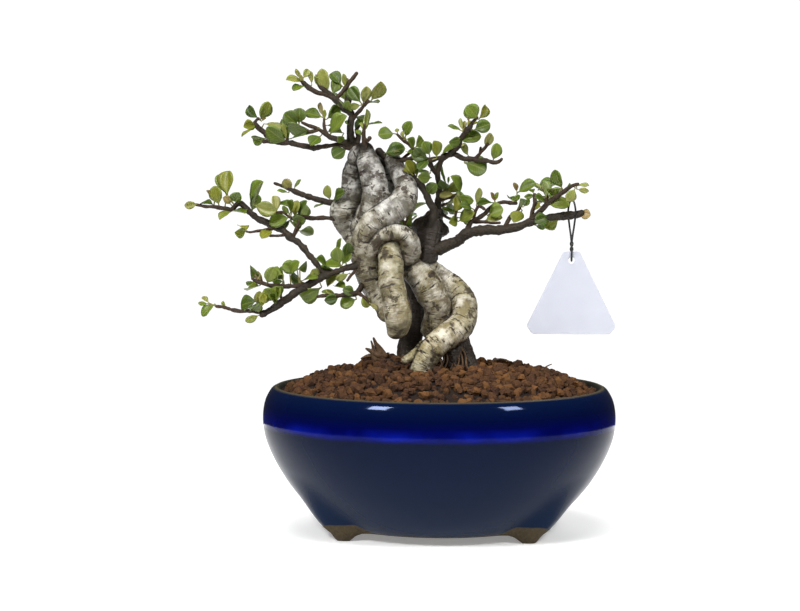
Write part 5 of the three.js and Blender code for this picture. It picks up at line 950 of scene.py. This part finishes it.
        [-5.5, -8.5, 215, -5.5, -7, -4, 6.5, 25, 1], [-12, -5, 217.5, -6.5, 6.5, 2.5, 6, 35, 3],
        [-8, -7, 216.5, -4.5, -8, 4, 6.5, -40, 2],
    ]),
    "spray_back_left": ([
        [[-46, 12, 203, 2.2], [-44, 20, 206, 1.9], [-42, 30, 205, 1.6], [-42, 40, 208, 1.3],
         [-40, 50, 207, 1]],
        [[-43, 26, 206, 1.1], [-37, 33, 203, 1], [-33, 42, 202, 0.8]],
        [[-42, 34, 206, 1.1], [-46, 39, 201, 1], [-50, 45, 197, 0.8]],
    ], [
        [-42, 27, 206, 5, 5, 6.5, 6.5, -100, 4], [-43, 27, 204, -2, 4.5, -3.5, 2.5, 140, 7],
        [-41.5, 37, 206.5, 4, 8, -1, 6.5, -95, 6], [-43, 37, 207, -7, 4.5, 3.5, 6.5, 95, 3],
        [-41.5, 37, 208, 2.5, 4.5, 9.5, 8.5, -55, 5], [-41.5, 46, 207.5, -4.5, 8, 2, 7, 80, 2],
        [-40.5, 45.5, 208.5, 4.5, 6.5, 7, 8.5, -80, 2],
        [-40.5, 45.5, 207, 6.5, 6.5, -5.5, 9, -130, 2], [-39, 29.5, 204.5, 6, 1, 4, 3.5, -135, 7],
        [-40, 30, 203.5, -2.5, 5, -8, 7, 160, 4], [-34.5, 36.5, 202, 9, 4.5, -3.5, 7.5, -115, 6],
        [-35.5, 37, 202.5, -5, 9, 2, 7.5, 100, 3], [-34.5, 37, 203, 5.5, 2.5, 6, 7, -145, 6],
        [-45, 38, 203, -4.5, 7.5, 3.5, 6.5, 60, 2], [-44.5, 38, 202, 6, 7, -3, 8, -150, 2],
        [-45, 37, 202, -8, -0.5, -6.5, 7.5, 85, 6], [-49.5, 44.5, 197, 2, 6.5, -5, 7, 170, 3],
        [-50, 44, 197, -6.5, 2.5, -2, 3.5, 115, 7], [-50, 44.5, 197.5, -4, 3.5, -0.5, 2.5, 115, 7],
        [-49.5, 45, 197.5, -3, 8, 2, 6.5, 90, 5], [-49.5, 44.5, 197, -1.5, 9.5, -2.5, 8.5, 35, 4],
    ]),
    "spray_back_right": ([
        [[-9, 11, 168, 2.4], [-12, 19, 172, 2], [-19, 29, 174, 1.7], [-23, 39, 178, 1.4],
         [-26, 51, 179, 1]],
        [[-18, 28, 174, 1.1], [-25, 33, 170, 1], [-31, 41, 168, 0.8]],
        [[-21, 34, 176, 1.1], [-20, 42, 182, 1], [-17, 50, 186, 0.8]],
    ], [
        [-17, 27, 172.5, -1.5, 9.5, -4, 8, 90, 6], [-18, 26, 173.5, -8, -0.5, 2.5, 6.5, 90, 4],
        [-17, 26.5, 174.5, -2, 5, 8.5, 7.5, -60, 4], [-22, 33, 176, -7.5, 2.5, 5, 7.5, 95, 5],
        [-20, 33.5, 176, 3.5, 7.5, 6.5, 7.5, -55, 5], [-23.5, 43.5, 179, 5, 5.5, 6.5, 7, -90, 1],
        [-24, 43.5, 178, -0.5, 6, -3, 3, 135, 7], [-25, 43, 179, -8, 3, 5.5, 7, 110, 5],
        [-23, 32, 171, -4, 9, 4, 7.5, -20, 1], [-23, 32, 170.5, 2, 7.5, -7.5, 7.5, -165, 5],
        [-24, 31, 171, -9.5, -2.5, 1.5, 7, 110, 4], [-29, 38, 168, -4.5, 1, -7.5, 7, 120, 3],
        [-29.5, 38, 169, -7, 1.5, 7, 8, 100, 6], [-29, 38.5, 169, 0.5, 5.5, 9, 8.5, -35, 2],
        [-20, 39, 180.5, 5, 2.5, 6.5, 7, -75, 2], [-21, 39.5, 180.5, -5.5, 1.5, 6.5, 6, 105, 2],
        [-18.5, 47.5, 184, -2, 9.5, -3, 7, 115, 1], [-18, 46.5, 184.5, 7.5, 0.5, 6, 6.5, -95, 6],
    ]),
}

# Half width along a leaf, from the stalk to the blunt tip, as parts of its length and width
leaf_outline = [
    (0, 0.07), (0.13, 0.12), (0.25, 0.46), (0.39, 0.79), (0.54, 0.97), (0.68, 1.0), (0.81, 0.88),
    (0.92, 0.6), (0.98, 0.28),
]


def leaf_template(name, fold, arch, cup):
    """One leaf of unit length along X, its upper side towards Z."""
    section = [(-1, 1), (-0.5, 1), (0, 1), (0.5, 1), (1, 1), (0.5, -1), (0, -1), (-0.5, -1)]
    rings, across, under = [], [0.5], [0.5]
    for t, wide in leaf_outline:
        half = wide / 2
        ring = []
        for c, side in section:
            thick = 0.02 * (1 - 0.7 * c * c) * side
            lift = fold * abs(c) * half - arch * t * t + cup * c * c * half * math.sin(9 * t)
            ring.append([t, c * half, lift + (0 if abs(c) == 1 else thick)])
            across.append(0.5 + 0.5 * c)
            under.append(0.5 if abs(c) == 1 else 0.5 - 0.5 * side)
        rings.append(ring)
    points, faces = loft(rings, [-0.01, 0, 0], [1.0, 0, -arch])
    made = mesh_piece(name, points * 1000 - pot_axis, faces)
    made.data.update()
    across.append(0.5)
    under.append(0.5)
    give(made.data, "under", under)
    corners = [loop.vertex_index for loop in made.data.loops]
    uv = [[across[i], points[i][0]] for i in corners]
    made.data.uv_layers.new(name="leaf_uv").data.foreach_set("uv", np.ravel(uv))
    return made


# Leaves differ in how they fold along the midrib, arch towards the tip and cup at the margin
templates = [
    leaf_template("flat leaf", 0.2, 0.08, 0.09),
    leaf_template("arched leaf", 0.27, 0.18, -0.09),
    leaf_template("folded leaf", 0.45, 0.03, 0.06),
]

twig_bark, tree = new_material("rough dark twig bark")
place = add(tree, "ShaderNodeTexCoord").outputs["Object"]
thickness = add(tree, "ShaderNodeAttribute", attribute_name="thickness").outputs["Fac"]
# Shoots of the year are red-brown and thin-skinned; older wood turns charcoal and scaly
age = add(tree, "ShaderNodeMapRange", {0: thickness, 1: 0.8, 2: 1.9})
flakes = add(tree, "ShaderNodeTexNoise", {"Vector": place, "Scale": 1000 / 1.4, "Detail": 6.0})
shoot = add(tree, "ShaderNodeMix", {0: flakes, 6: linear("#140d08"), 7: linear("#543f2c")},
            data_type="RGBA")
wood = add(tree, "ShaderNodeMix", {0: flakes, 6: linear("#060504"), 7: linear("#41382c")},
           data_type="RGBA")
colour = add(tree, "ShaderNodeMix", {0: age, 6: shoot, 7: wood}, data_type="RGBA")
soft = add(tree, "ShaderNodeMapRange", {0: thickness, 1: 0.55, 2: 0.75})
skinned = add(tree, "ShaderNodeMix", {0: soft, 6: linear("#7d7a44"), 7: colour}, data_type="RGBA")
bump = add(tree, "ShaderNodeBump", {"Height": flakes, "Strength": 0.9, "Distance": 0.0009})
shader = add(tree, "ShaderNodeBsdfPrincipled", {
    "Base Color": skinned, "Roughness": 0.62, "Normal": bump, "Specular IOR Level": 0.3,
})
add(tree, "ShaderNodeOutputMaterial", {"Surface": shader})

leaf_skin, tree = new_material("waxy green leaf")
place = add(tree, "ShaderNodeTexCoord").outputs["Object"]
flat = add(tree, "ShaderNodeUVMap", uv_map="leaf_uv")
split = add(tree, "ShaderNodeSeparateXYZ", {0: flat})
each = add(tree, "ShaderNodeAttribute", attribute_name="tone").outputs["Fac"]
youth = add(tree, "ShaderNodeMapRange", {0: each, 1: 0.55, 2: 0.85})
below = add(tree, "ShaderNodeAttribute", attribute_name="under").outputs["Fac"]
# A thin wax over the cells gives a satin gloss; veins and the back of the leaf are paler
greens = add(tree, "ShaderNodeValToRGB", {"Fac": each})
fill_ramp(greens, (0, "#28400b"), (0.15, "#384b0d"), (0.35, "#506016"), (0.5, "#637423"),
          (0.62, "#706e1c"), (0.72, "#858944"), (0.82, "#86794a"), (0.9, "#6a4630"),
          (0.95, "#6a4630"), (1, "#a98f62"))
off = add(tree, "ShaderNodeMath", {0: split.outputs["X"], 1: 0.5}, operation="SUBTRACT")
out = add(tree, "ShaderNodeMath", {0: off}, operation="ABSOLUTE")
rib = add(tree, "ShaderNodeMapRange", {0: out, 1: 0.05, 2: 0.0, 3: 0.0, 4: 0.5})
slant = add(tree, "ShaderNodeMath", {0: out, 1: -0.55, 2: split.outputs["Y"]},
            operation="MULTIPLY_ADD")
wave = add(tree, "ShaderNodeMath", {0: slant, 1: 62.0}, operation="MULTIPLY")
comb = add(tree, "ShaderNodeMath", {0: wave}, operation="SINE")
veins = add(tree, "ShaderNodeMapRange", {0: comb, 1: 0.8, 2: 1.0, 3: 0.0, 4: 0.28})
pattern = add(tree, "ShaderNodeMath", {0: rib, 1: veins}, operation="MAXIMUM")
veined = add(tree, "ShaderNodeMix", {0: pattern, 6: greens, 7: linear("#8f9547")},
             data_type="RGBA")
blotch = add(tree, "ShaderNodeTexNoise", {"Vector": place, "Scale": 1000 / 3, "Detail": 4.0})
uneven = add(tree, "ShaderNodeMapRange", {0: blotch, 1: 0.4, 2: 0.75, 3: 0.0, 4: 0.3})
varied = add(tree, "ShaderNodeMix", {0: uneven, 6: veined, 7: linear("#3b4c0e")}, data_type="RGBA")
margin = add(tree, "ShaderNodeMapRange", {0: out, 1: 0.4, 2: 0.5, 3: 0.0, 4: 0.55})
blush = add(tree, "ShaderNodeMath", {0: margin, 1: youth}, operation="MULTIPLY")
edged = add(tree, "ShaderNodeMix", {0: blush, 6: varied, 7: linear("#7a4528")}, data_type="RGBA")
backed = add(tree, "ShaderNodeMath", {0: below, 1: 0.6}, operation="MULTIPLY")
colour = add(tree, "ShaderNodeMix", {0: backed, 6: edged, 7: linear("#7f8a58")}, data_type="RGBA")
bump = add(tree, "ShaderNodeBump", {"Height": pattern, "Strength": 0.5, "Distance": 0.0002},
           invert=True)
shader = add(tree, "ShaderNodeBsdfPrincipled", {
    "Base Color": colour, "Roughness": 0.4, "Normal": bump, "Specular IOR Level": 0.4,
    "Subsurface Weight": 0.12, "Subsurface Radius": (0.0006, 0.0012, 0.0003),
    "Subsurface Scale": 1.0,
})
add(tree, "ShaderNodeOutputMaterial", {"Surface": shader})

foliage, source = new_tree("leaves on twigs", {
    "Size factor": "Float", "Flat leaf": "Object", "Arched leaf": "Object",
    "Folded leaf": "Object",
})
seat = add(foliage, "GeometryNodeInputNamedAttribute", {"Name": "size"}, data_type="FLOAT_VECTOR")
length = add(foliage, "ShaderNodeVectorMath", {0: seat}, operation="LENGTH")
is_seat = add(foliage, "FunctionNodeCompare", {0: length, 1: 0.0}, data_type="FLOAT",
              operation="GREATER_THAN")
parted = add(foliage, "GeometryNodeSeparateGeometry", {"Geometry": source["Mesh"],
                                                       "Selection": is_seat}, domain="POINT")
kinds = foliage.nodes.new("GeometryNodeJoinGeometry")
for label in ("Flat leaf", "Arched leaf", "Folded leaf"):
    info = add(foliage, "GeometryNodeObjectInfo", {"Object": source[label], "As Instance": True})
    foliage.links.new(info.outputs["Geometry"], kinds.inputs["Geometry"])
forward = add(foliage, "GeometryNodeInputNamedAttribute", {"Name": "toward"},
              data_type="FLOAT_VECTOR")
facing = add(foliage, "GeometryNodeInputNamedAttribute", {"Name": "face"},
             data_type="FLOAT_VECTOR")
form = add(foliage, "GeometryNodeInputNamedAttribute", {"Name": "form"}, data_type="INT")
aimed = add(foliage, "FunctionNodeAlignRotationToVector", {"Vector": forward}, axis="X")
rolled = add(foliage, "FunctionNodeAlignRotationToVector", {"Rotation": aimed, "Vector": facing},
             axis="Z", pivot_axis="X")
sized = add(foliage, "ShaderNodeVectorMath", {0: seat, "Scale": source["Size factor"]},
            operation="SCALE")
placed = add(foliage, "GeometryNodeInstanceOnPoints", {
    "Points": parted, "Instance": kinds, "Pick Instance": True, "Instance Index": form,
    "Rotation": rolled, "Scale": sized,
})
real = add(foliage, "GeometryNodeRealizeInstances", {"Geometry": placed})
green = add(foliage, "GeometryNodeSetMaterial", {"Geometry": real, "Material": leaf_skin})
both = add(foliage, "GeometryNodeJoinGeometry", {"Geometry": parted.outputs["Inverted"]})
foliage.links.new(green.outputs["Geometry"], both.inputs["Geometry"])
add(foliage, "NodeGroupOutput", {"Mesh": both})


def unit(vector):
    """The vector at a length of one."""
    return vector / np.linalg.norm(vector)


twig_step, stout_twig, twig_wobble = 1.4, 2.5, 0.5
stalk_radii = (0.42, 0.36, 0.26)
full_width = 1.1
for number, (spray, (twigs, leaves)) in enumerate(sprays.items()):
    draw = random.Random(40 + number)
    runs, solids, thick, seats = [], [], [], []
    # A twig wanders a little between its ends, and knots make it thick and thin
    for path in twigs:
        run = smooth_run(path, twig_step)
        ends = np.minimum(1, np.minimum(np.arange(len(run)), np.arange(len(run))[::-1]) / 4)
        for axis in range(3):
            shift = np.array([draw.uniform(0, 90), draw.uniform(0, 90), 0])
            bent = np.arange(len(run))[:, None] * [twig_step, 0, 0] + [0, shift[0], shift[1]]
            run[:, axis] += twig_wobble * ends * noise_at(bent, 5)
        run[:, 3] *= 1 + 0.34 * noise_at(run[:, :3], 2.1)
        runs.append(run)
        solids.append(tube(run, 16 if run[0, 3] > stout_twig else 10))
        thick.append(np.interp(
            np.linspace(0, 1, len(solids[-1][0])), np.linspace(0, 1, len(run)), run[:, 3]))
    wood = np.vstack(runs)
    # A stalk joins each leaf to the nearest wood, and its seat holds what the tree of nodes needs
    for *values, width, turned, shade in leaves:
        root, reach = np.array(values[:3], float), np.array(values[3:], float)
        length, toward = np.linalg.norm(reach), unit(reach)
        face = np.array([0, -1, 0.3])
        face = unit(face - toward * (face @ toward))
        turn = math.radians(turned)
        face = face * math.cos(turn) + np.cross(toward, face) * math.sin(turn)
        nearest = wood[np.linalg.norm(wood[:, :3] - root, axis=1).argmin(), :3]
        stalk = np.array([nearest - 0.2 * toward, root, root + 0.16 * reach])
        solids.append(tube(np.column_stack([stalk, stalk_radii]), 6))
        thick.append(np.full(len(solids[-1][0]), 0.3))
        form = 2 if width < 0.45 * length else draw.randint(0, 1)
        seats.append([*root, *toward, *face, length, full_width * width, length,
                      (shade + draw.uniform(-0.5, 0.5)) / 10, form])
    points, faces = gather(solids)
    seats = np.array(seats)
    wood_count = len(points)
    piece = mesh_piece(spray.replace("spray_", "leafy_"), np.vstack([points, seats[:, :3]]),
                       faces, twig_bark)
    wooden = np.zeros((wood_count, 3))
    give(piece.data, "thickness", np.concatenate([*thick, np.zeros(len(seats))]))
    give(piece.data, "toward", np.vstack([wooden, seats[:, 3:6]]), "FLOAT_VECTOR")
    give(piece.data, "face", np.vstack([wooden, seats[:, 6:9]]), "FLOAT_VECTOR")
    give(piece.data, "size", np.vstack([wooden, seats[:, 9:12] / 1000]), "FLOAT_VECTOR")
    give(piece.data, "tone", np.concatenate([wooden[:, 0], seats[:, 12]]))
    give(piece.data, "form", np.concatenate([wooden[:, 0], seats[:, 13]]).astype(int), "INT")
    grow(piece, foliage, {"Size factor": 1.0, "Flat leaf": templates[0],
                          "Arched leaf": templates[1], "Folded leaf": templates[2]})
    keep(piece, "leaf", spray)
for template in templates:
    bpy.data.objects.remove(template)


# The tag: a bare card of white plastic, cut to a triangle with its lower corners off and a hole
# near the top, where the wire goes through. It hangs a little behind the branch's tip.

card_width, card_height, card_top, card_cut, card_thick = 55, 47, 9, 4.5, 0.7
card_rounding, card_bevel = 1.4, 0.1
hole_drop, hole_radius = 5, 2
tag_low, tag_high = (np.array(corner) * 1000 - pot_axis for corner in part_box("tag"))
tag_middle = (tag_low + tag_high) / 2

card, tree = new_material("white plastic card")
place = add(tree, "ShaderNodeTexCoord").outputs["Object"]
# Punched sheet plastic: cool white, satin, with faint rubbed patches
rubs = add(tree, "ShaderNodeTexNoise", {"Vector": place, "Scale": 1000 / 12, "Detail": 6.0})
white = add(tree, "ShaderNodeMix", {0: rubs, 6: linear("#bcbfca"), 7: linear("#c5c8d2")},
            data_type="RGBA")
rough = add(tree, "ShaderNodeMapRange", {0: rubs, 1: 0.3, 2: 0.7, 3: 0.3, 4: 0.5})
bump = add(tree, "ShaderNodeBump", {"Height": rubs, "Strength": 0.1, "Distance": 0.0005})
shader = add(tree, "ShaderNodeBsdfPrincipled", {
    "Base Color": white, "Roughness": rough, "Normal": bump, "IOR": 1.49,
})
add(tree, "ShaderNodeOutputMaterial", {"Surface": shader})


def curve_piece(name, curve, material):
    """A mesh piece with the form that a curve's outline and thickness give."""
    drawn = bpy.data.objects.new(curve.name, curve)
    bpy.context.scene.collection.objects.link(drawn)
    depsgraph = bpy.context.evaluated_depsgraph_get()
    mesh = bpy.data.meshes.new_from_object(drawn.evaluated_get(depsgraph), depsgraph=depsgraph)
    bpy.data.objects.remove(drawn)
    mesh.materials.clear()
    mesh.materials.append(material)
    piece = bpy.data.objects.new(name, mesh)
    bpy.context.scene.collection.objects.link(piece)
    return piece


def rounded(corners, radius, steps=5):
    """An outline with each corner rounded by a short curve."""
    outline = []
    for before, corner, after in zip(np.roll(corners, 1, axis=0), corners,
                                     np.roll(corners, -1, axis=0)):
        start = corner + unit(before - corner) * radius
        end = corner + unit(after - corner) * radius
        for t in np.linspace(0, 1, steps):
            outline.append((1 - t) ** 2 * start + 2 * t * (1 - t) * corner + t * t * end)
    return outline


half, slope = card_width / 2, card_width / 2 - card_top / 2
cut = card_cut / card_height
corners = np.array([
    [card_top / 2, 0], [-card_top / 2, 0], [-half + cut * slope, -card_height + card_cut],
    [-half + 2 * cut * slope + 1, -card_height], [half - 2 * cut * slope - 1, -card_height],
    [half - cut * slope, -card_height + card_cut],
])
flat_card = bpy.data.curves.new("tag_card", "CURVE")
flat_card.dimensions = "2D"
flat_card.fill_mode = "BOTH"
flat_card.extrude = (card_thick / 2 - card_bevel) / 1000
flat_card.bevel_depth = card_bevel / 1000
flat_card.bevel_resolution = 1
turns = np.radians(np.arange(0, 360, 12))
hole = np.stack([hole_radius * np.cos(turns), hole_radius * np.sin(turns) - hole_drop], axis=1)
for outline in (rounded(corners, card_rounding), hole):
    spline = flat_card.splines.new("POLY")
    spline.points.add(len(outline) - 1)
    for point, (x, z) in zip(spline.points, outline):
        point.co = (x / 1000, z / 1000, 0, 1)
    spline.use_cyclic_u = True
tag = curve_piece("name_tag", flat_card, card)
tag_x, tag_y = (tag_middle + pot_axis)[:2] / 1000
for vertex in tag.data.vertices:
    x, z, y = vertex.co
    vertex.co = (tag_x + x, tag_y - y, tag_high[2] / 1000 + z)
keep(tag, "tag_card", "tag")


# The tag's hook: soft black wire bent wide over the branch and once through the hole, its two
# legs turned round each other above the tag to close it.

wire_low, wire_high = (np.array(corner) * 1000 - pot_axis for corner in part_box("tag_wire"))
wire_x, wire_y = ((wire_low + wire_high) / 2)[:2]
wire_radius, wire_room = 0.55, 0.65
hook_half, hook_rise, hook_turn, eye_radius = 3.9, 8.3, 32, 1.4
hook_z = wire_high[2] - hook_rise - wire_room
eye_z = wire_low[2] + eye_radius + wire_room
route = []
for turn in np.linspace(0, math.pi, 13):
    route.append([-hook_half * math.cos(turn), 0, hook_z + hook_rise * math.sin(turn)])
# The legs come together, cross once and part again at the hole
legs = np.linspace(0, 1, 31)[1:-1]
for part, sign in ((legs, 1), (legs[::-1], -1)):
    if sign < 0:
        for turn in np.linspace(0, math.pi, 9):
            route.append([eye_radius * math.cos(turn), 0, eye_z - eye_radius * math.sin(turn)])
    for t in part:
        twist = 2 * math.pi * np.clip((t - 0.6) / 0.24, 0, 1)
        apart = sign * np.interp(t, [0, 0.3, 0.6, 0.66, 0.8, 0.86, 1],
                                 [hook_half, 2.9, 0.8, 0.6, 0.6, 0.9, eye_radius])
        route.append([apart * math.cos(twist), apart * math.sin(twist),
                      hook_z + t * (eye_z - hook_z)])

lacquer, tree = new_material("black lacquered wire")
place = add(tree, "ShaderNodeTexCoord").outputs["Object"]
# Thin lacquer over soft wire is black with a low, even shine, and scuffs where it was bent
scuffs = add(tree, "ShaderNodeTexNoise", {"Vector": place, "Scale": 1000 / 1.0, "Detail": 4.0})
black = add(tree, "ShaderNodeMix", {0: scuffs, 6: linear("#0c0c0d"), 7: linear("#2c2b2a")},
            data_type="RGBA")
bump = add(tree, "ShaderNodeBump", {"Height": scuffs, "Strength": 0.2, "Distance": 0.0001})
shader = add(tree, "ShaderNodeBsdfPrincipled", {
    "Base Color": black, "Roughness": 0.4, "Normal": bump,
})
add(tree, "ShaderNodeOutputMaterial", {"Surface": shader})

loop = bpy.data.curves.new("tag_hook", "CURVE")
loop.dimensions = "3D"
loop.bevel_depth = wire_radius / 1000
loop.bevel_resolution = 3
spline = loop.splines.new("POLY")
spline.points.add(len(route) - 1)
for point, (out, aside, z) in zip(spline.points, route):
    angle = math.radians(hook_turn * np.clip((z - eye_z) / (hook_z - eye_z), 0, 1))
    x = wire_x - out * math.sin(angle) + aside * math.cos(angle)
    y = wire_y + out * math.cos(angle) + aside * math.sin(angle)
    point.co = ((x + pot_axis[0]) / 1000, y / 1000, z / 1000, 1)
spline.use_cyclic_u = True
hook = curve_piece("tag_hook", loop, lacquer)
hook.data.shade_smooth()
keep(hook, "black_wire", "tag_wire")


# The stage: a pale lit floor, two soft boxes in front, a wide one overhead and a weak one behind.
# The camera is where the photograph was taken from, 1 m in front of the pot, level with the crown.

paper, tree = new_material("matte white paper")
place = add(tree, "ShaderNodeTexCoord").outputs["Object"]
# Uncoated paper has no shine, and its faint glow stands for light from beyond the scene
tooth = add(tree, "ShaderNodeTexNoise", {"Vector": place, "Scale": 1000 / 40, "Detail": 2.0})
pale = add(tree, "ShaderNodeMix", {0: tooth, 6: linear("#f0f0ef"), 7: linear("#f3f3f2")},
           data_type="RGBA")
shader = add(tree, "ShaderNodeBsdfPrincipled", {
    "Base Color": pale, "Roughness": 0.9, "Emission Color": linear("#ffffff"),
    "Emission Strength": 0.25,
})
add(tree, "ShaderNodeOutputMaterial", {"Surface": shader})
table_reach = 430
table = [[table_reach * math.cos(t), table_reach * math.sin(t), 0]
         for t in np.radians(np.arange(0, 360, 3))]
floor = mesh_piece("floor", table, [tuple(range(len(table)))], paper)
bpy.context.scene.view_settings.view_transform = "Standard"

world = bpy.data.worlds.new("studio")
bpy.context.scene.world = world
world.use_nodes = True
world.node_tree.nodes.clear()
tree = world.node_tree
ray = add(tree, "ShaderNodeLightPath")
# White paper behind the tree, a dark ceiling in reflections, and a soft even fill
glossy = add(tree, "ShaderNodeMix", {0: ray.outputs["Is Glossy Ray"], 2: 0.25, 3: 0.05})
seen = add(tree, "ShaderNodeMix", {0: ray.outputs["Is Camera Ray"], 2: glossy, 3: 1.1})
backdrop = add(tree, "ShaderNodeBackground", {"Color": linear("#fbfbfc"), "Strength": seen})
add(tree, "ShaderNodeOutputWorld", {"Surface": backdrop})

# Name, place and size in millimetres, power in watts, and whether the glaze mirrors it
softboxes = (
    ("left softbox", (-560, -740, 900), (200, 240), 11, True),
    ("right softbox", (690, -640, 900), (200, 240), 8, True),
    ("top softbox", (-100, -250, 1500), (1000, 800), 18, False),
    ("rear softbox", (150, 1200, 700), (800, 600), 7, False),
)
for name, place, size, power, mirrored in softboxes:
    light = bpy.data.lights.new(name, "AREA")
    light.shape = "RECTANGLE"
    light.size, light.size_y = size[0] / 1000, size[1] / 1000
    light.energy = power
    lamp = bpy.data.objects.new(name, light)
    lamp.visible_glossy = mirrored
    lamp.location = (np.array(place) + pot_axis) / 1000
    aim = Vector((0, 0, 0.1)) + Vector(pot_axis / 1000) - lamp.location
    lamp.rotation_euler = aim.to_track_quat("-Z", "Y").to_euler()
    bpy.context.scene.collection.objects.link(lamp)

camera_place = (40, -1000, 209)
camera_pitch, camera_yaw = 4.46, 3.58
photo_width, focal_pixels = 800, 1730
view = bpy.data.cameras.new("camera")
view.sensor_width = 36
view.lens = view.sensor_width * focal_pixels / photo_width
camera = bpy.data.objects.new("camera", view)
camera.location = (np.array(camera_place) + pot_axis) / 1000
camera.rotation_euler = (math.radians(90 - camera_pitch), 0, math.radians(camera_yaw))
bpy.context.scene.collection.objects.link(camera)
bpy.context.scene.camera = camera
